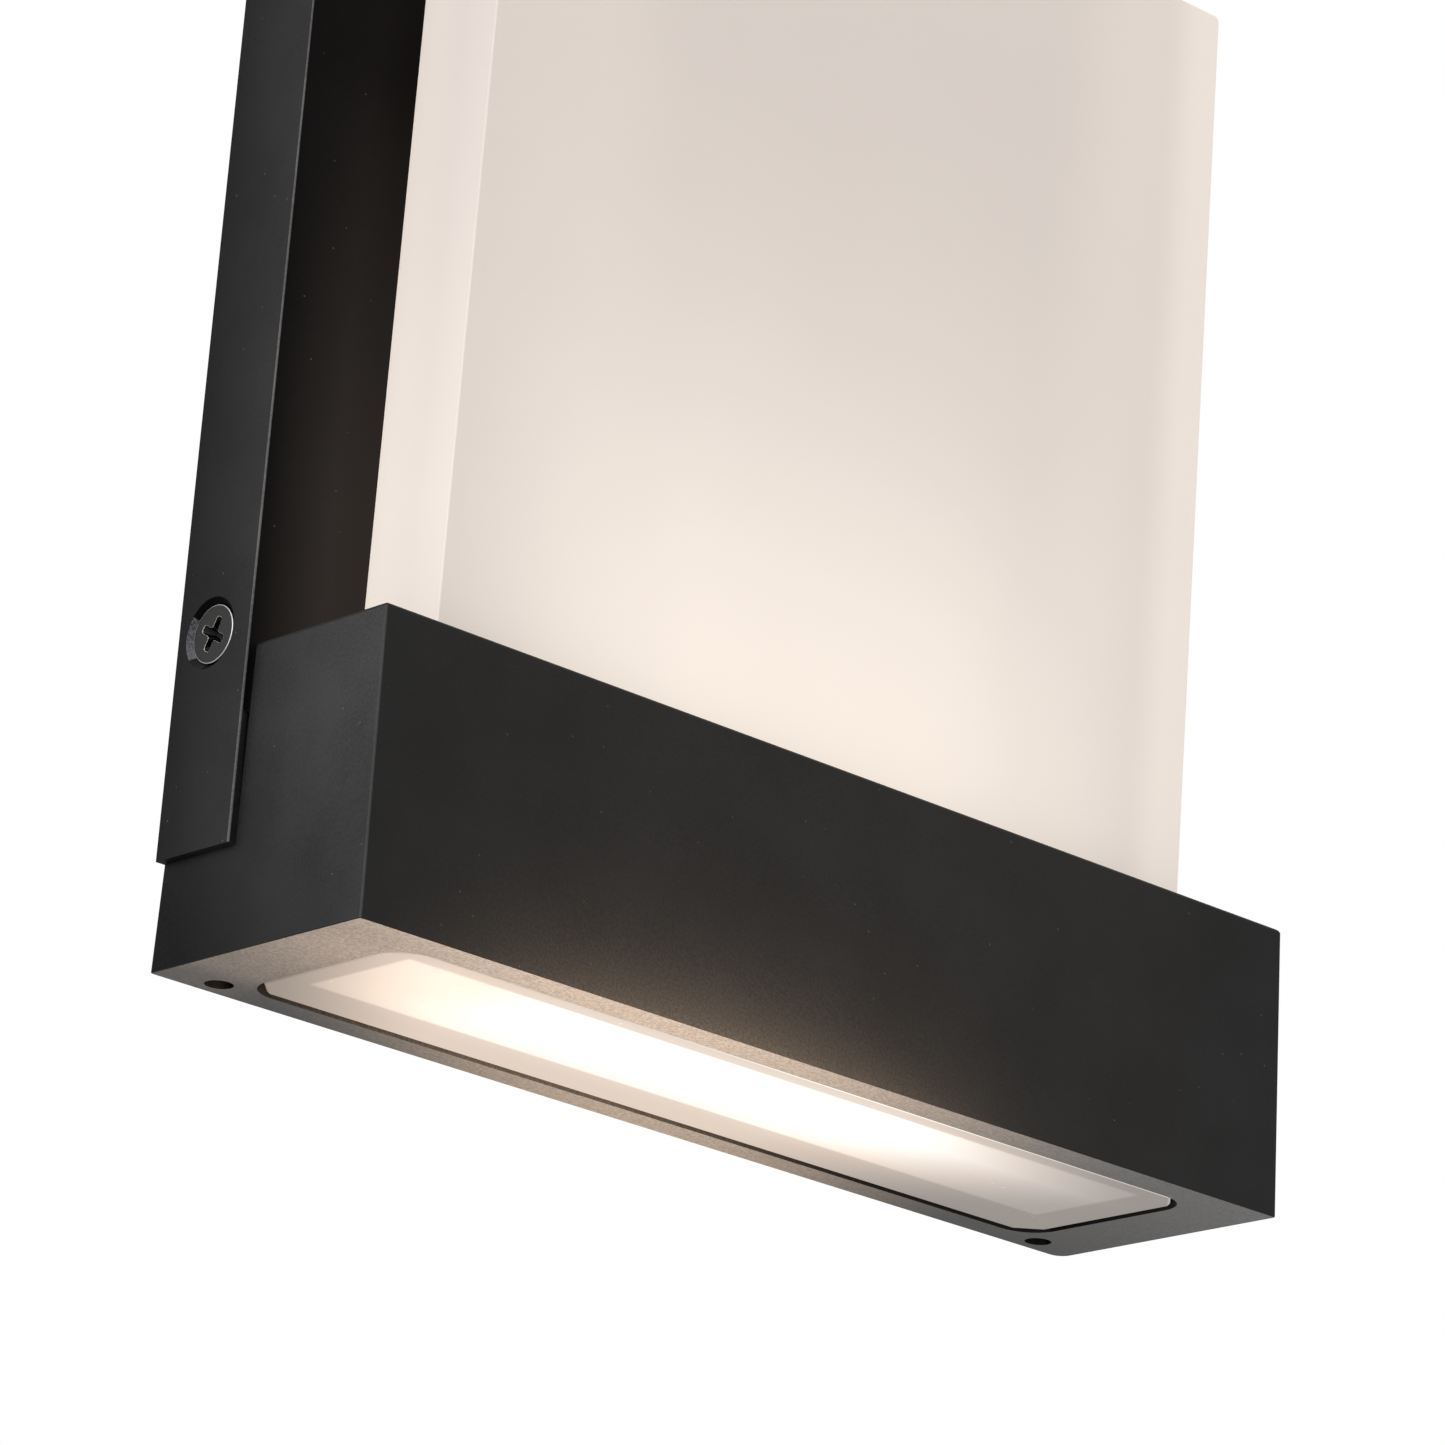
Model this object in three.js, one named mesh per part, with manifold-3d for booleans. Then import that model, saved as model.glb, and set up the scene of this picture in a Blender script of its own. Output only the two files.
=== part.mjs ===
// Outdoor wall lantern: a flat back pan, a drafted box housing with a frosted down light,
// and an opal block that stands on the housing in front of the pan.
// Millimetres, +Z up. The wall is the plane y = 0 and the front faces -Y.
// Heights are counted from the housing's underside; the last lines move the origin
// to the middle of the wall bracket's rear face.

import * as THREE from "three";
import { mergeVertices } from "three/addons/utils/BufferGeometryUtils.js";
import Module from "manifold-3d";

const wasm = await Module();
wasm.setup();

// ---------------------------------------------------------------- driving dimensions

// clearances
const touch = 0.3; // between two pieces that touch
const seat = touch / 2; // on each side of a thin piece clamped between two others
const threadGap = 0.1; // between a shank and its threaded hole, on the radius
const holeGap = 0.25; // between a shank and a clearance hole, on the radius
const leadGap = 0.4; // between a lead and what it passes
const overcut = 1; // how far a cutting solid runs past the face it opens
const overlap = 0.5; // how far two joined solids run into each other
const hair = 0.01; // keeps two faces or points from falling on one another

// back pan
const panWidth = 160;
const panDepth = 14.2;
const panSheet = 1.4;
const panEdgeRadius = 0.5;
const panSideMargin = 14.6;
const panTopMargin = 11.5;
const flangeFoot = 14;

// lamp housing; the drafts are run over rise
const housingInset = 0.9;
const housingLip = 7.76;
const housingHeight = 40;
const sideDraft = 0.00975;
const faceDraft = 0.02725;
const housingCorner = 0.2;
const housingTopEdge = 0.5;
const housingFootEdge = 0.15;
const rearStep = 9.6;
const roofThickness = 2.4;
const postRadius = 3;
const drainRadius = 1.85;
const drainFromSide = 7.9;
const drainFromWall = 3.6;
const panScrewFromShaft = 4;
const panScrewAboveStep = 5.6;
const panScrewThread = 7;

// lens pane and its recess
const recessSideBorder = 10.6;
const recessFrontBorder = 5.1;
const recessRearBorder = 4.4;
const recessCorner = 5;
const recessStep = 1.5;
const lensThickness = 3;
const lensSunk = 0.2;
const lensEdgeGap = 0.5;
const lensCornerCut = 3.2;
const lensSealThickness = 0.5;
const lensSealCorner = 1;

// diffuser and its pocket
const diffuserHeight = 131.5;
const diffuserDepth = 14.64;
const diffuserPanGap = 3.4;
const diffuserWall = 2.5;
const diffuserDraft = 0.0059;
const diffuserEdge = 0.4;
const diffuserInnerEdge = 0.2;
const bossLength = 9;
const bossHeight = 10;
const bossFromWall = 1.4;
const bossThread = 8;
const pocketDepth = 6;
const pocketFloor = 2.4;
const pocketGap = 0.3;
const windowLedge = 1;
const windowFromScrew = 3.5;
const gasketThickness = 0.8;
const gasketCorner = 0.5;

// light engine
const trayWall = 1;
const trayRim = 1.4;
const trayEndRim = 5.25;
const trayFrontRim = 4.1;
const trayRearRim = 5.9;
const trayEndTaper = 8;
const traySideTaper = 2.8;
const trayCorner = 0.8;
const boardThickness = 1.2;
const upBoardWidth = 10;
const downBoardWidth = 14;
const boardEndGap = 14;
const boardScrewFromEnd = 3;
const boardThread = 1.8;
const chipWidth = 2.8;
const chipDepth = 3.5;
const chipHeight = 0.7;
const chipPitch = 7;
const chipFromScrew = 8;
const chipSunk = 0.1;
const carrierThickness = 3;
const carrierClear = 1;
const carrierHeadroom = 3.6;
const carrierScrewInset = 3.4;
const notchWidth = 10;
const notchReach = 2.4;
const tabFromNotch = 0.6;

// wall bracket
const bracketPlate = 1.5;
const bracketFootGap = 2.4;
const bracketTopGap = 2.3;
const bracketSideGap = 1;
const earWidth = 12;
const earFrontGap = 1.3;
const hookFrontShare = 0.59; // of the free room round the hook, in front of it
const hookRise = 3.9;
const hookWidth = 20;
const hookSpacing = 60;
const slotSpacing = 80;
const slotLength = 18;
const slotWidth = 4.8;

// hanger strip
const hangerSheet = 1.2;
const hangerRise = 5.6;
const hangerWebDrop = 7;
const hangerOverhang = 4;
const hangerSealGap = 1.5;

// wall seal
const wallSealWidth = 5;
const wallSealDepth = 3.2;
const wallSealAboveScrew = 15;

// supply inlet and its grommet
const inletRadius = 11;
const inletAboveSlots = 41;
const inletGap = 0.2;
const inletBore = 4.5;
const inletFlange = 2;
const inletFlangeThickness = 1.4;

// terminal block
const terminalPitch = 10;
const terminalHeight = 15;
const terminalAboveSlots = 8;
const terminalWireHole = 1.6;
const terminalClampHole = 1.9;
const terminalClampFromMid = 3.6;
const terminalClampDepth = 3;
const terminalGroove = 1.6;
const terminalGrooveDepth = 3;

// earth point
const earthX = 33;
const washerTeeth = 10;
const washerOuter = 3.9;
const washerInner = 3.2;
const washerThickness = 0.5;
const lugRadius = 3.8;
const lugSheet = 0.8;
const lugNeck = 3.2;
const lugBarrel = 3.8;
const lugBarrelHeight = 2.8;
const lugBarrelStart = 5.5;
const lugLength = 9;

// driver
const driverLength = 92;
const driverHeight = 34;
const driverWall = 1;
const driverAboveScrew = 7.5;
const driverFromBracket = 1.8;
const driverTape = 0.5;
const driverTapeInset = 4;
const driverLip = 1.2;
const driverEntryWidth = 8;
const driverEntryReach = 3;
const driverEntryFromLead = 2;
const circuitBoard = 1;
const circuitBoardGap = 0.5;
const driverPartHeadroom = 0.85;
const transformerWidth = 16;
const transformerHeight = 14;
const transformerWindow = 2.6;
const transformerWindowDepth = 2.6;
const transformerX = 2;
const inputCapacitorX = -30;
const inputCapacitorLength = 12;
const outputCapacitorX = 18;
const outputCapacitorLength = 14;
const capacitorAboveMid = 5;
const capacitorNeck = 0.3;

// fasteners
const m4 = 4;
const m3 = 3;
const m25 = 2.5;
const panHeadRadius = 0.93; // share of the thread's diameter
const panHeadHeight = 0.7; // share of the thread's diameter
const panHeadCrown = 0.7; // share of the head's radius
const panHeadRecess = 0.6; // share of the head's height
const diffuserScrewLength = 9;
const boardScrewLength = 3;
const carrierScrewLength = 5;
const panScrewLength = 6;
const earthScrewLength = 3;
const terminalScrewReach = 1.2;
const sideScrewLength = 10;
const sideScrewHead = 7.4;
const sideScrewSunk = 0.5;
const sideScrewRim = 0.25;
const sideScrewTip = 0.5;
const sideScrewAboveHousing = 2.5;
const sideScrewFromWall = 6.2;
const sideScrewTurn = -29;
const countersink = 9.4;
const ringRadius = 2.75;
const ringSection = 0.4;
const ringGap = 0.1;
const crossWidth = 4.8;
const crossDepth = 1.6;

// leads
const leadRadius = 0.7;
const mainsLeadRadius = 1.1;
const earthLeadRadius = 1;
const leadSpacing = 2.6;
const mainsLeadSpacing = 3.4;
const leadHoleHalfLength = 3.2;
const leadHoleShare = 0.275; // hole's half width as a share of the room for it
const leadHoleFromShaft = 0.5;
const leadHoleFromBoardEnd = 15;
const leadEnd = 0.6;
const grommetFlangeShare = 0.145; // of the same room
const grommetFlangeThickness = 1.1;
const grommetDrop = 0.4;
const grommetBoreGap = 0.2;

// smoothness
const roundSides = 32;
const smallSides = 14;
const ringSectionSides = 6;
const leadBoreSides = 12;
const cornerSteps = 3;
const wideCornerSteps = 6;
const ovalCornerSteps = 4;
const crestSteps = 4;
const fineEdgeSteps = 2;
const grooveSteps = 4;
const slotEndSteps = 8;
const leadSides = 4;
const leadStep = 3; // share of the lead's radius
const ledLeadShifts = 10;
const mainsLeadShifts = 16;

// ---------------------------------------------------------------- sizes that follow

const panHalf = panWidth / 2;
const panInner = panHalf - panSheet;
const panTop = housingHeight + diffuserHeight + panTopMargin;
const panFace = -panDepth;
const panInnerFace = panFace + panSheet;

const housingHalf = panHalf - housingInset;
const housingDepth = panDepth + diffuserPanGap + diffuserDepth + housingLip;
const housingRearTop = housingHeight - rearStep;
const housingBack = panFace - touch;

const diffuserHalf = panHalf - panSideMargin;
const diffuserRear = panFace - diffuserPanGap;
const diffuserFront = diffuserRear - diffuserDepth;
const diffuserMid = (diffuserRear + diffuserFront) / 2;
const diffuserTop = housingHeight + diffuserHeight;
const pocketBottom = housingHeight - pocketDepth;
const diffuserFoot = pocketBottom + gasketThickness + 2 * seat;
const diffuserScrewX = diffuserHalf - diffuserWall - bossLength / 2 - bossFromWall;

const recessHalf = housingHalf - recessSideBorder;
const recessFront = -housingDepth + recessFrontBorder;
const recessRear = -recessRearBorder;
const lensTop = lensSunk + lensThickness;
const lensSealTop = lensTop + seat + lensSealThickness;
const trayBottom = lensSealTop + seat;
const recessRoof = trayBottom + trayRim + touch;
const shaftHalf = recessHalf - recessStep;
const shaftFront = recessFront + recessStep;
const shaftRear = recessRear - recessStep;
const shaftRoof = housingRearTop - roofThickness;
const upperShaftRoof = pocketBottom - pocketFloor;
const panScrewX = shaftHalf + panScrewFromShaft;
const panScrewZ = housingRearTop + panScrewAboveStep;

const carrierTop = shaftRoof - carrierHeadroom;
const carrierBottom = carrierTop - carrierThickness;
const carrierHalf = shaftHalf - carrierClear;
const carrierFront = shaftFront + carrierClear;
const carrierRear = shaftRear - carrierClear;
const carrierScrewX = carrierHalf - carrierScrewInset;
const carrierScrewFront = carrierFront + carrierScrewInset;
const carrierScrewRear = carrierRear - carrierScrewInset;
const upBoardBottom = carrierTop + touch;
const upBoardTop = upBoardBottom + boardThickness;
const downBoardTop = carrierBottom - touch;
const downBoardBottom = downBoardTop - boardThickness;
const boardHalf = shaftHalf - boardEndGap;
const boardScrewX = boardHalf - boardScrewFromEnd;
const chipRow = 2 * (boardScrewX - chipFromScrew) - chipWidth;
const chipCount = Math.floor(chipRow / chipPitch) + 1;

const trayTop = downBoardBottom - touch;
const trayOpenHalf = recessHalf - lensEdgeGap - trayEndRim;
const trayOpenFront = recessFront + lensEdgeGap + trayFrontRim;
const trayOpenRear = recessRear - lensEdgeGap - trayRearRim;
const trayMid = (trayOpenFront + trayOpenRear) / 2;

const screwHeight = housingHeight + sideScrewAboveHousing;
const screwY = -sideScrewFromWall;
const sideScrewX = panHalf - sideScrewSunk;
const sideScrewCone = (sideScrewHead - m4) / 2;
const ringDepth = sideScrewRim + sideScrewHead / 2 - ringRadius;
const earOuter = sideScrewX - sideScrewRim - sideScrewCone - seat;
const earFront = panInnerFace + earFrontGap;

const bracketFoot = housingRearTop + bracketFootGap;
const bracketTop = panTop - panSheet - touch - wallSealWidth - bracketTopGap;
const bracketHalf = panInner - touch - wallSealWidth - bracketSideGap;
const bracketMid = (bracketFoot + bracketTop) / 2;
const bracketFace = -bracketPlate - seat;
const inletZ = bracketMid + inletAboveSlots;
const hangerWeb = panInnerFace + touch;
const hangerWebFace = hangerWeb + hangerSheet;
const hangerLip = -wallSealDepth - hangerSealGap - hangerSheet;
const hookTip = hangerWebFace + (hangerLip - hangerWebFace - bracketPlate) * hookFrontShare;
const hangerFoot = bracketTop + leadGap;
const hangerTop = hangerFoot + hangerRise;

const driverFoot = screwHeight + driverAboveScrew;
const driverTop = driverFoot + driverHeight;
const driverMid = (driverFoot + driverTop) / 2;
const driverHalf = driverLength / 2;
const driverBase = panInnerFace + driverTape + 2 * seat;
const driverLidOuter = -bracketPlate - driverFromBracket;
const driverLidInner = driverLidOuter - driverWall;
const driverLeadY = (driverBase + driverLidInner) / 2;
const circuitBoardFace = driverBase + driverWall + touch + circuitBoard;
const driverPartSeat = circuitBoardFace + seat;
const driverPartHeight = driverLidInner - driverPartSeat - driverPartHeadroom;

const terminalHalf = 1.5 * terminalPitch;
const terminalRear = bracketFace;
const terminalFront = panInnerFace + touch + m25 * panHeadHeight + seat;
const terminalDepth = terminalRear - terminalFront;
const terminalMidY = (terminalRear + terminalFront) / 2;
const terminalFoot = bracketMid + terminalAboveSlots;
const terminalTop = terminalFoot + terminalHeight;
const terminalMid = (terminalFoot + terminalTop) / 2;
const earthZ = inletZ;
const washerFace = bracketFace - washerThickness;
const lugBase = washerFace - touch;
const lugFace = lugBase - lugSheet;
const lugBoreY = lugBase - lugBarrelHeight / 2;

const leadRoom = shaftRear - panInnerFace;
const leadHoleHalfWidth = leadRoom * leadHoleShare;
const grommetFlange = leadRoom * grommetFlangeShare;
const leadHoleX = boardHalf - leadHoleFromBoardEnd;
const leadHoleY = shaftRear - leadHoleHalfWidth - leadHoleFromShaft;
const notchFront = leadHoleY - notchReach;
const linkLeadOffset = leadSpacing / 2 + 2 * leadRadius + leadGap + touch;
const tabFront = trayMid + downBoardWidth / 2 - overlap;
const tabRear = shaftRear - carrierClear - tabFromNotch;

// ---------------------------------------------------------------- materials

function finish(color, roughness, metalness) {
  return new THREE.MeshStandardMaterial({ color, roughness, metalness });
}

const blackCoat = finish(0x262625, 0.6, 0.2);
const opal = finish(0xeee4da, 0.5, 0);
const frosted = finish(0xe8dccd, 0.4, 0);
const silicone = finish(0x3b2e22, 0.7, 0);
const whitePlastic = finish(0xf0eee8, 0.5, 0);
const zincSteel = finish(0xa9abad, 0.4, 0.9);
const blackSteel = finish(0x1c1c1c, 0.4, 0.7);
const aluminium = finish(0xb9bbbd, 0.4, 0.9);
const rubber = finish(0x161616, 0.8, 0);
const foam = finish(0x2a2a2a, 0.95, 0);
const boardWhite = finish(0xe9e9e2, 0.5, 0);
const boardGreen = finish(0x2d6b3f, 0.5, 0);
const brass = finish(0xb8974a, 0.35, 0.9);
const darkPart = finish(0x23262b, 0.6, 0);
const redLead = finish(0xa32020, 0.5, 0);
const blackLead = finish(0x181818, 0.5, 0);
const brownLead = finish(0x5a3520, 0.5, 0);
const blueLead = finish(0x2456a6, 0.5, 0);
const earthLead = finish(0x6f9b2e, 0.5, 0);

// ---------------------------------------------------------------- solids

function toSolid(geometry) {
  const bare = geometry.clone();
  bare.deleteAttribute("normal");
  bare.deleteAttribute("uv");
  const merged = mergeVertices(bare);
  return new wasm.Manifold(new wasm.Mesh({
    numProp: 3,
    vertProperties: new Float32Array(merged.attributes.position.array),
    triVerts: new Uint32Array(merged.index.array),
  }));
}

function toGeometry(solid) {
  const { vertProperties, triVerts } = solid.getMesh();
  const geometry = new THREE.BufferGeometry();
  geometry.setAttribute("position", new THREE.BufferAttribute(vertProperties, 3));
  geometry.setIndex(new THREE.BufferAttribute(triVerts, 1));
  return geometry;
}

function cut(base, ...tools) {
  return toGeometry(tools.reduce((solid, tool) => solid.subtract(toSolid(tool)), toSolid(base)));
}

function join(base, ...more) {
  return toGeometry(more.reduce((solid, piece) => solid.add(toSolid(piece)), toSolid(base)));
}

function box(x0, x1, y0, y1, z0, z1) {
  const geometry = new THREE.BoxGeometry(x1 - x0, y1 - y0, z1 - z0);
  return geometry.translate((x0 + x1) / 2, (y0 + y1) / 2, (z0 + z1) / 2);
}

// the same piece made for the left side (-1) and for the right side (1)
function bothSides(make) {
  return [-1, 1].map(make);
}

// a box between x0 and x1 on the right side, or its mirror image on the left
function sideBox(side, x0, x1, ...rest) {
  return side > 0 ? box(x0, x1, ...rest) : box(-x1, -x0, ...rest);
}

// a round bar along +Z from z0 to z1, or a cone when the two radii differ
function bar(radius, z0, z1, sides = smallSides, topRadius = radius) {
  const geometry = new THREE.CylinderGeometry(topRadius, radius, z1 - z0, sides);
  return geometry.rotateX(Math.PI / 2).translate(0, 0, (z0 + z1) / 2);
}

// turns a shape that is built along +Z so that its +Z points along a wanted direction
function aim(geometry, direction, position) {
  const turn = new THREE.Quaternion().setFromUnitVectors(new THREE.Vector3(0, 0, 1), direction);
  return geometry.applyQuaternion(turn).translate(...position);
}

const toFront = new THREE.Vector3(0, -1, 0);
const toWall = new THREE.Vector3(0, 1, 0);
const toTop = new THREE.Vector3(0, 0, 1);
const toFloor = new THREE.Vector3(0, 0, -1);

function outward(side) {
  return new THREE.Vector3(side, 0, 0);
}

// counter-clockwise outline of a rectangle with round corners
function roundedRect(x0, x1, y0, y1, radius, steps = cornerSteps) {
  const centres = [[x1 - radius, y0 + radius], [x1 - radius, y1 - radius],
    [x0 + radius, y1 - radius], [x0 + radius, y0 + radius]];
  return centres.flatMap(([cx, cy], corner) => {
    const start = (corner - 1) * Math.PI / 2;
    return Array.from({ length: steps + 1 }, (_, i) => {
      const angle = start + i * Math.PI / 2 / steps;
      return [cx + radius * Math.cos(angle), cy + radius * Math.sin(angle)];
    });
  });
}

// a closed skin through convex outlines of equal length, each given as [points, height]
function loft(layers) {
  const count = layers[0][0].length;
  const positions = layers.flatMap(([points, z]) => points.flatMap(([x, y]) => [x, y, z]));
  const faces = [];
  for (let layer = 0; layer + 1 < layers.length; layer += 1) {
    for (let i = 0; i < count; i += 1) {
      const a = layer * count + i;
      const b = layer * count + (i + 1) % count;
      faces.push(a, b, b + count, a, b + count, a + count);
    }
  }
  const last = (layers.length - 1) * count;
  for (let i = 1; i + 1 < count; i += 1) {
    faces.push(0, i + 1, i, last, last + i, last + i + 1);
  }
  const geometry = new THREE.BufferGeometry();
  geometry.setAttribute("position", new THREE.Float32BufferAttribute(positions, 3));
  geometry.setIndex(faces);
  return geometry;
}

function prism(outline, z0, z1) {
  return loft([[outline, z0], [outline, z1]]);
}

// inset and height of the points of a quarter round edge, from its foot to its crest
function quarterRound(radius, steps = cornerSteps) {
  return Array.from({ length: steps + 1 }, (_, i) => {
    const angle = i * Math.PI / 2 / steps;
    return [radius * (1 - Math.cos(angle)), radius * Math.sin(angle)];
  });
}

function frame(outer, inner, z0, z1) {
  return cut(prism(outer, z0, z1), prism(inner, z0 - overcut, z1 + overcut));
}

// outline that the lens seal and the tray's rim share inside the recess
function recessOutline(gap) {
  return roundedRect(-recessHalf + gap, recessHalf - gap, recessFront + gap, recessRear - gap,
    recessCorner - gap, wideCornerSteps);
}

// outline of the slot that the leads use between the pan and the housing, grown by a margin
function leadOval(margin) {
  const length = leadHoleHalfLength + margin;
  const width = leadHoleHalfWidth + margin;
  const nearlyRound = width - hair;
  return roundedRect(leadHoleX - length, leadHoleX + length, leadHoleY - width, leadHoleY + width,
    nearlyRound, ovalCornerSteps);
}

function lead(radius, points) {
  const path = new THREE.CatmullRomCurve3(points.map((point) => new THREE.Vector3(...point)));
  const section = new THREE.Shape();
  section.absarc(0, 0, radius, 0, 2 * Math.PI);
  const steps = Math.ceil(path.getLength() / (radius * leadStep));
  return new THREE.ExtrudeGeometry(section, { steps, curveSegments: leadSides, extrudePath: path });
}

// ---------------------------------------------------------------- screws

function crossRecess(width, depth, turn = 0) {
  const arm = width / 4;
  const bars = [box(-width / 2, width / 2, -arm / 2, arm / 2, -depth, overcut),
    box(-arm / 2, arm / 2, -width / 2, width / 2, -depth, overcut)];
  return join(...bars).rotateZ(turn * Math.PI / 180);
}

// head's top face at z = 0, shank downwards, with a groove for the ring in the head's cone
function countersunkScrew() {
  const headHalf = sideScrewHead / 2;
  const shankHalf = m4 / 2;
  const grooveRadius = ringSection + ringGap;
  const groove = Array.from({ length: grooveSteps + 1 }, (_, i) => {
    const angle = (5 / 4 - i / grooveSteps) * Math.PI;
    return [ringRadius + grooveRadius * Math.cos(angle), -ringDepth + grooveRadius * Math.sin(angle)];
  });
  const profile = [[0, -sideScrewLength], [shankHalf - sideScrewTip, -sideScrewLength],
    [shankHalf, -sideScrewLength + sideScrewTip], [shankHalf, -sideScrewRim - sideScrewCone], ...groove,
    [headHalf, -sideScrewRim], [headHalf, 0], [0, 0]];
  const body = new THREE.LatheGeometry(profile.map((p) => new THREE.Vector2(...p)), roundSides);
  return cut(body.rotateX(Math.PI / 2), crossRecess(crossWidth, crossDepth, sideScrewTurn));
}

function sealRing() {
  return new THREE.TorusGeometry(ringRadius, ringSection, ringSectionSides, roundSides)
    .translate(0, 0, -ringDepth);
}

// head's underside at z = 0, shank downwards
function panHeadScrew(size, length) {
  const radius = size * panHeadRadius;
  const height = size * panHeadHeight;
  const crown = bar(radius, height / 2, height, smallSides, radius * panHeadCrown);
  const head = join(bar(radius, 0, height / 2), crown);
  const shank = bar(size / 2, -length, threadGap);
  const recess = crossRecess(size, height * panHeadRecess).translate(0, 0, height);
  return cut(join(head, shank), recess);
}

// ---------------------------------------------------------------- shells

function backPan() {
  const outline = (inset) => roundedRect(-panHalf + inset, panHalf - inset,
    flangeFoot + inset, panTop - inset, panEdgeRadius, fineEdgeSteps);
  const layers = [[outline(0), 0]];
  for (const [inset, rise] of quarterRound(panEdgeRadius)) {
    layers.push([outline(inset), panDepth - panEdgeRadius + rise]);
  }
  const block = loft(layers).rotateX(Math.PI / 2);
  const faceFoot = housingRearTop + 2 * touch;
  const hollow = box(-panInner, panInner, panInnerFace, overcut, 0, panTop - panSheet);
  const mouth = box(-panInner, panInner, panFace - overcut, overcut, 0, faceFoot);
  const coneDepth = panSheet + overcut;
  const sinks = bothSides((side) => aim(bar(countersink / 2 - coneDepth, -coneDepth, overcut,
    roundSides, countersink / 2 + overcut), outward(side), [side * panHalf, screwY, screwHeight]));
  const screwHoles = bothSides((side) => aim(bar(m3 / 2 + holeGap, -panSheet - overcut, overcut), toFront,
    [side * panScrewX, panFace, panScrewZ]));
  return cut(block, hollow, mouth, ...sinks, ...screwHoles);
}

// the drafted block, before anything is cut from it
function housingBlock() {
  const outline = (z, inset) => {
    const half = housingHalf - sideDraft * z - inset;
    const front = -housingDepth + faceDraft * z + inset;
    const rear = -faceDraft * z - inset;
    return roundedRect(-half, half, front, rear, housingCorner);
  };
  const foot = quarterRound(housingFootEdge, fineEdgeSteps).reverse().map(([inset, rise]) => {
    const z = housingFootEdge - rise;
    return [outline(z, inset), z];
  });
  const crest = quarterRound(housingTopEdge, crestSteps).map(([inset, rise]) => {
    const z = housingHeight - housingTopEdge + rise;
    return [outline(z, inset), z];
  });
  return loft([...foot, ...crest]);
}

function lampHousing() {
  const wide = panHalf + overcut;
  const high = housingHeight + overcut;
  const rearSpace = box(-wide, wide, housingBack, overcut, housingRearTop, high);
  const flangeSeats = bothSides((side) => sideBox(side, panInner - touch, wide, housingBack, overcut,
    flangeFoot - touch, high));
  const recess = prism(recessOutline(0), -overcut, recessRoof);
  const shaft = box(-shaftHalf, shaftHalf, shaftFront, shaftRear, overcut, shaftRoof);
  const upperShaft = box(-shaftHalf, shaftHalf, shaftFront, housingBack - roofThickness,
    shaftRoof - overcut, upperShaftRoof);
  const pocket = box(-diffuserHalf - pocketGap, diffuserHalf + pocketGap,
    diffuserFront - pocketGap, diffuserRear + pocketGap, pocketBottom, high);
  const ledge = diffuserWall + windowLedge;
  const windowHalf = diffuserScrewX - windowFromScrew;
  const window = box(-windowHalf, windowHalf, diffuserFront + ledge, diffuserRear - ledge,
    upperShaftRoof - overcut, pocketBottom + overcut);
  const drains = bothSides((side) => bar(drainRadius, -overcut, high, roundSides)
    .translate(side * (housingHalf - drainFromSide), -drainFromWall, 0));
  const panScrewHoles = bothSides((side) => aim(bar(m3 / 2 + threadGap, -overcut, panScrewThread), toFront,
    [side * panScrewX, housingBack, panScrewZ]));
  const diffuserHoles = bothSides((side) => bar(m25 / 2 + holeGap, upperShaftRoof - overcut,
    pocketBottom + overcut).translate(side * diffuserScrewX, diffuserMid, 0));
  const leadHole = prism(leadOval(holeGap), shaftRoof - overcut, housingRearTop + overcut);
  const shell = cut(housingBlock(), rearSpace, ...flangeSeats, recess, shaft, upperShaft, pocket, window,
    ...drains, ...panScrewHoles, ...diffuserHoles, leadHole);
  const posts = [];
  const threads = [];
  for (const [y, roof] of [[carrierScrewFront, upperShaftRoof], [carrierScrewRear, shaftRoof]]) {
    for (const side of [-1, 1]) {
      posts.push(bar(postRadius, carrierTop + touch, roof + overlap).translate(side * carrierScrewX, y, 0));
      threads.push(bar(m3 / 2 + threadGap, carrierTop, shaftRoof).translate(side * carrierScrewX, y, 0));
    }
  }
  return cut(join(shell, ...posts), ...threads);
}

function diffuser() {
  const outline = (z, inset) => {
    const half = diffuserHalf - diffuserDraft * (z - housingHeight) - inset;
    const radius = Math.max(diffuserEdge - inset, diffuserInnerEdge);
    return roundedRect(-half, half, diffuserFront + inset, diffuserRear - inset, radius);
  };
  const layers = [[outline(diffuserFoot, 0), diffuserFoot]];
  for (const [inset, rise] of quarterRound(diffuserEdge)) {
    const z = diffuserTop - diffuserEdge + rise;
    layers.push([outline(z, inset), z]);
  }
  const innerTop = diffuserTop - diffuserWall;
  const hollow = loft([[outline(diffuserFoot, diffuserWall), diffuserFoot - overcut],
    [outline(innerTop, diffuserWall), innerTop]]);
  const reach = diffuserWall - overlap;
  const bosses = bothSides((side) => sideBox(side, diffuserScrewX - bossLength / 2, diffuserHalf - reach,
    diffuserFront + reach, diffuserRear - reach, diffuserFoot, diffuserFoot + bossHeight));
  const threads = bothSides((side) => bar(m25 / 2 + threadGap, diffuserFoot - overcut,
    diffuserFoot + bossThread).translate(side * diffuserScrewX, diffuserMid, 0));
  return cut(join(cut(loft(layers), hollow), ...bosses), ...threads);
}

// ---------------------------------------------------------------- optics

// the pane's corners are cut straight, so their outline has one step per corner
function lensGlass() {
  const outline = roundedRect(-recessHalf + lensEdgeGap, recessHalf - lensEdgeGap,
    recessFront + lensEdgeGap, recessRear - lensEdgeGap, lensCornerCut, 1);
  return prism(outline, lensSunk, lensTop);
}

function lensSeal() {
  const inner = roundedRect(-shaftHalf, shaftHalf, shaftFront, shaftRear, lensSealCorner);
  return frame(recessOutline(touch), inner, lensTop + seat, lensSealTop);
}

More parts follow.
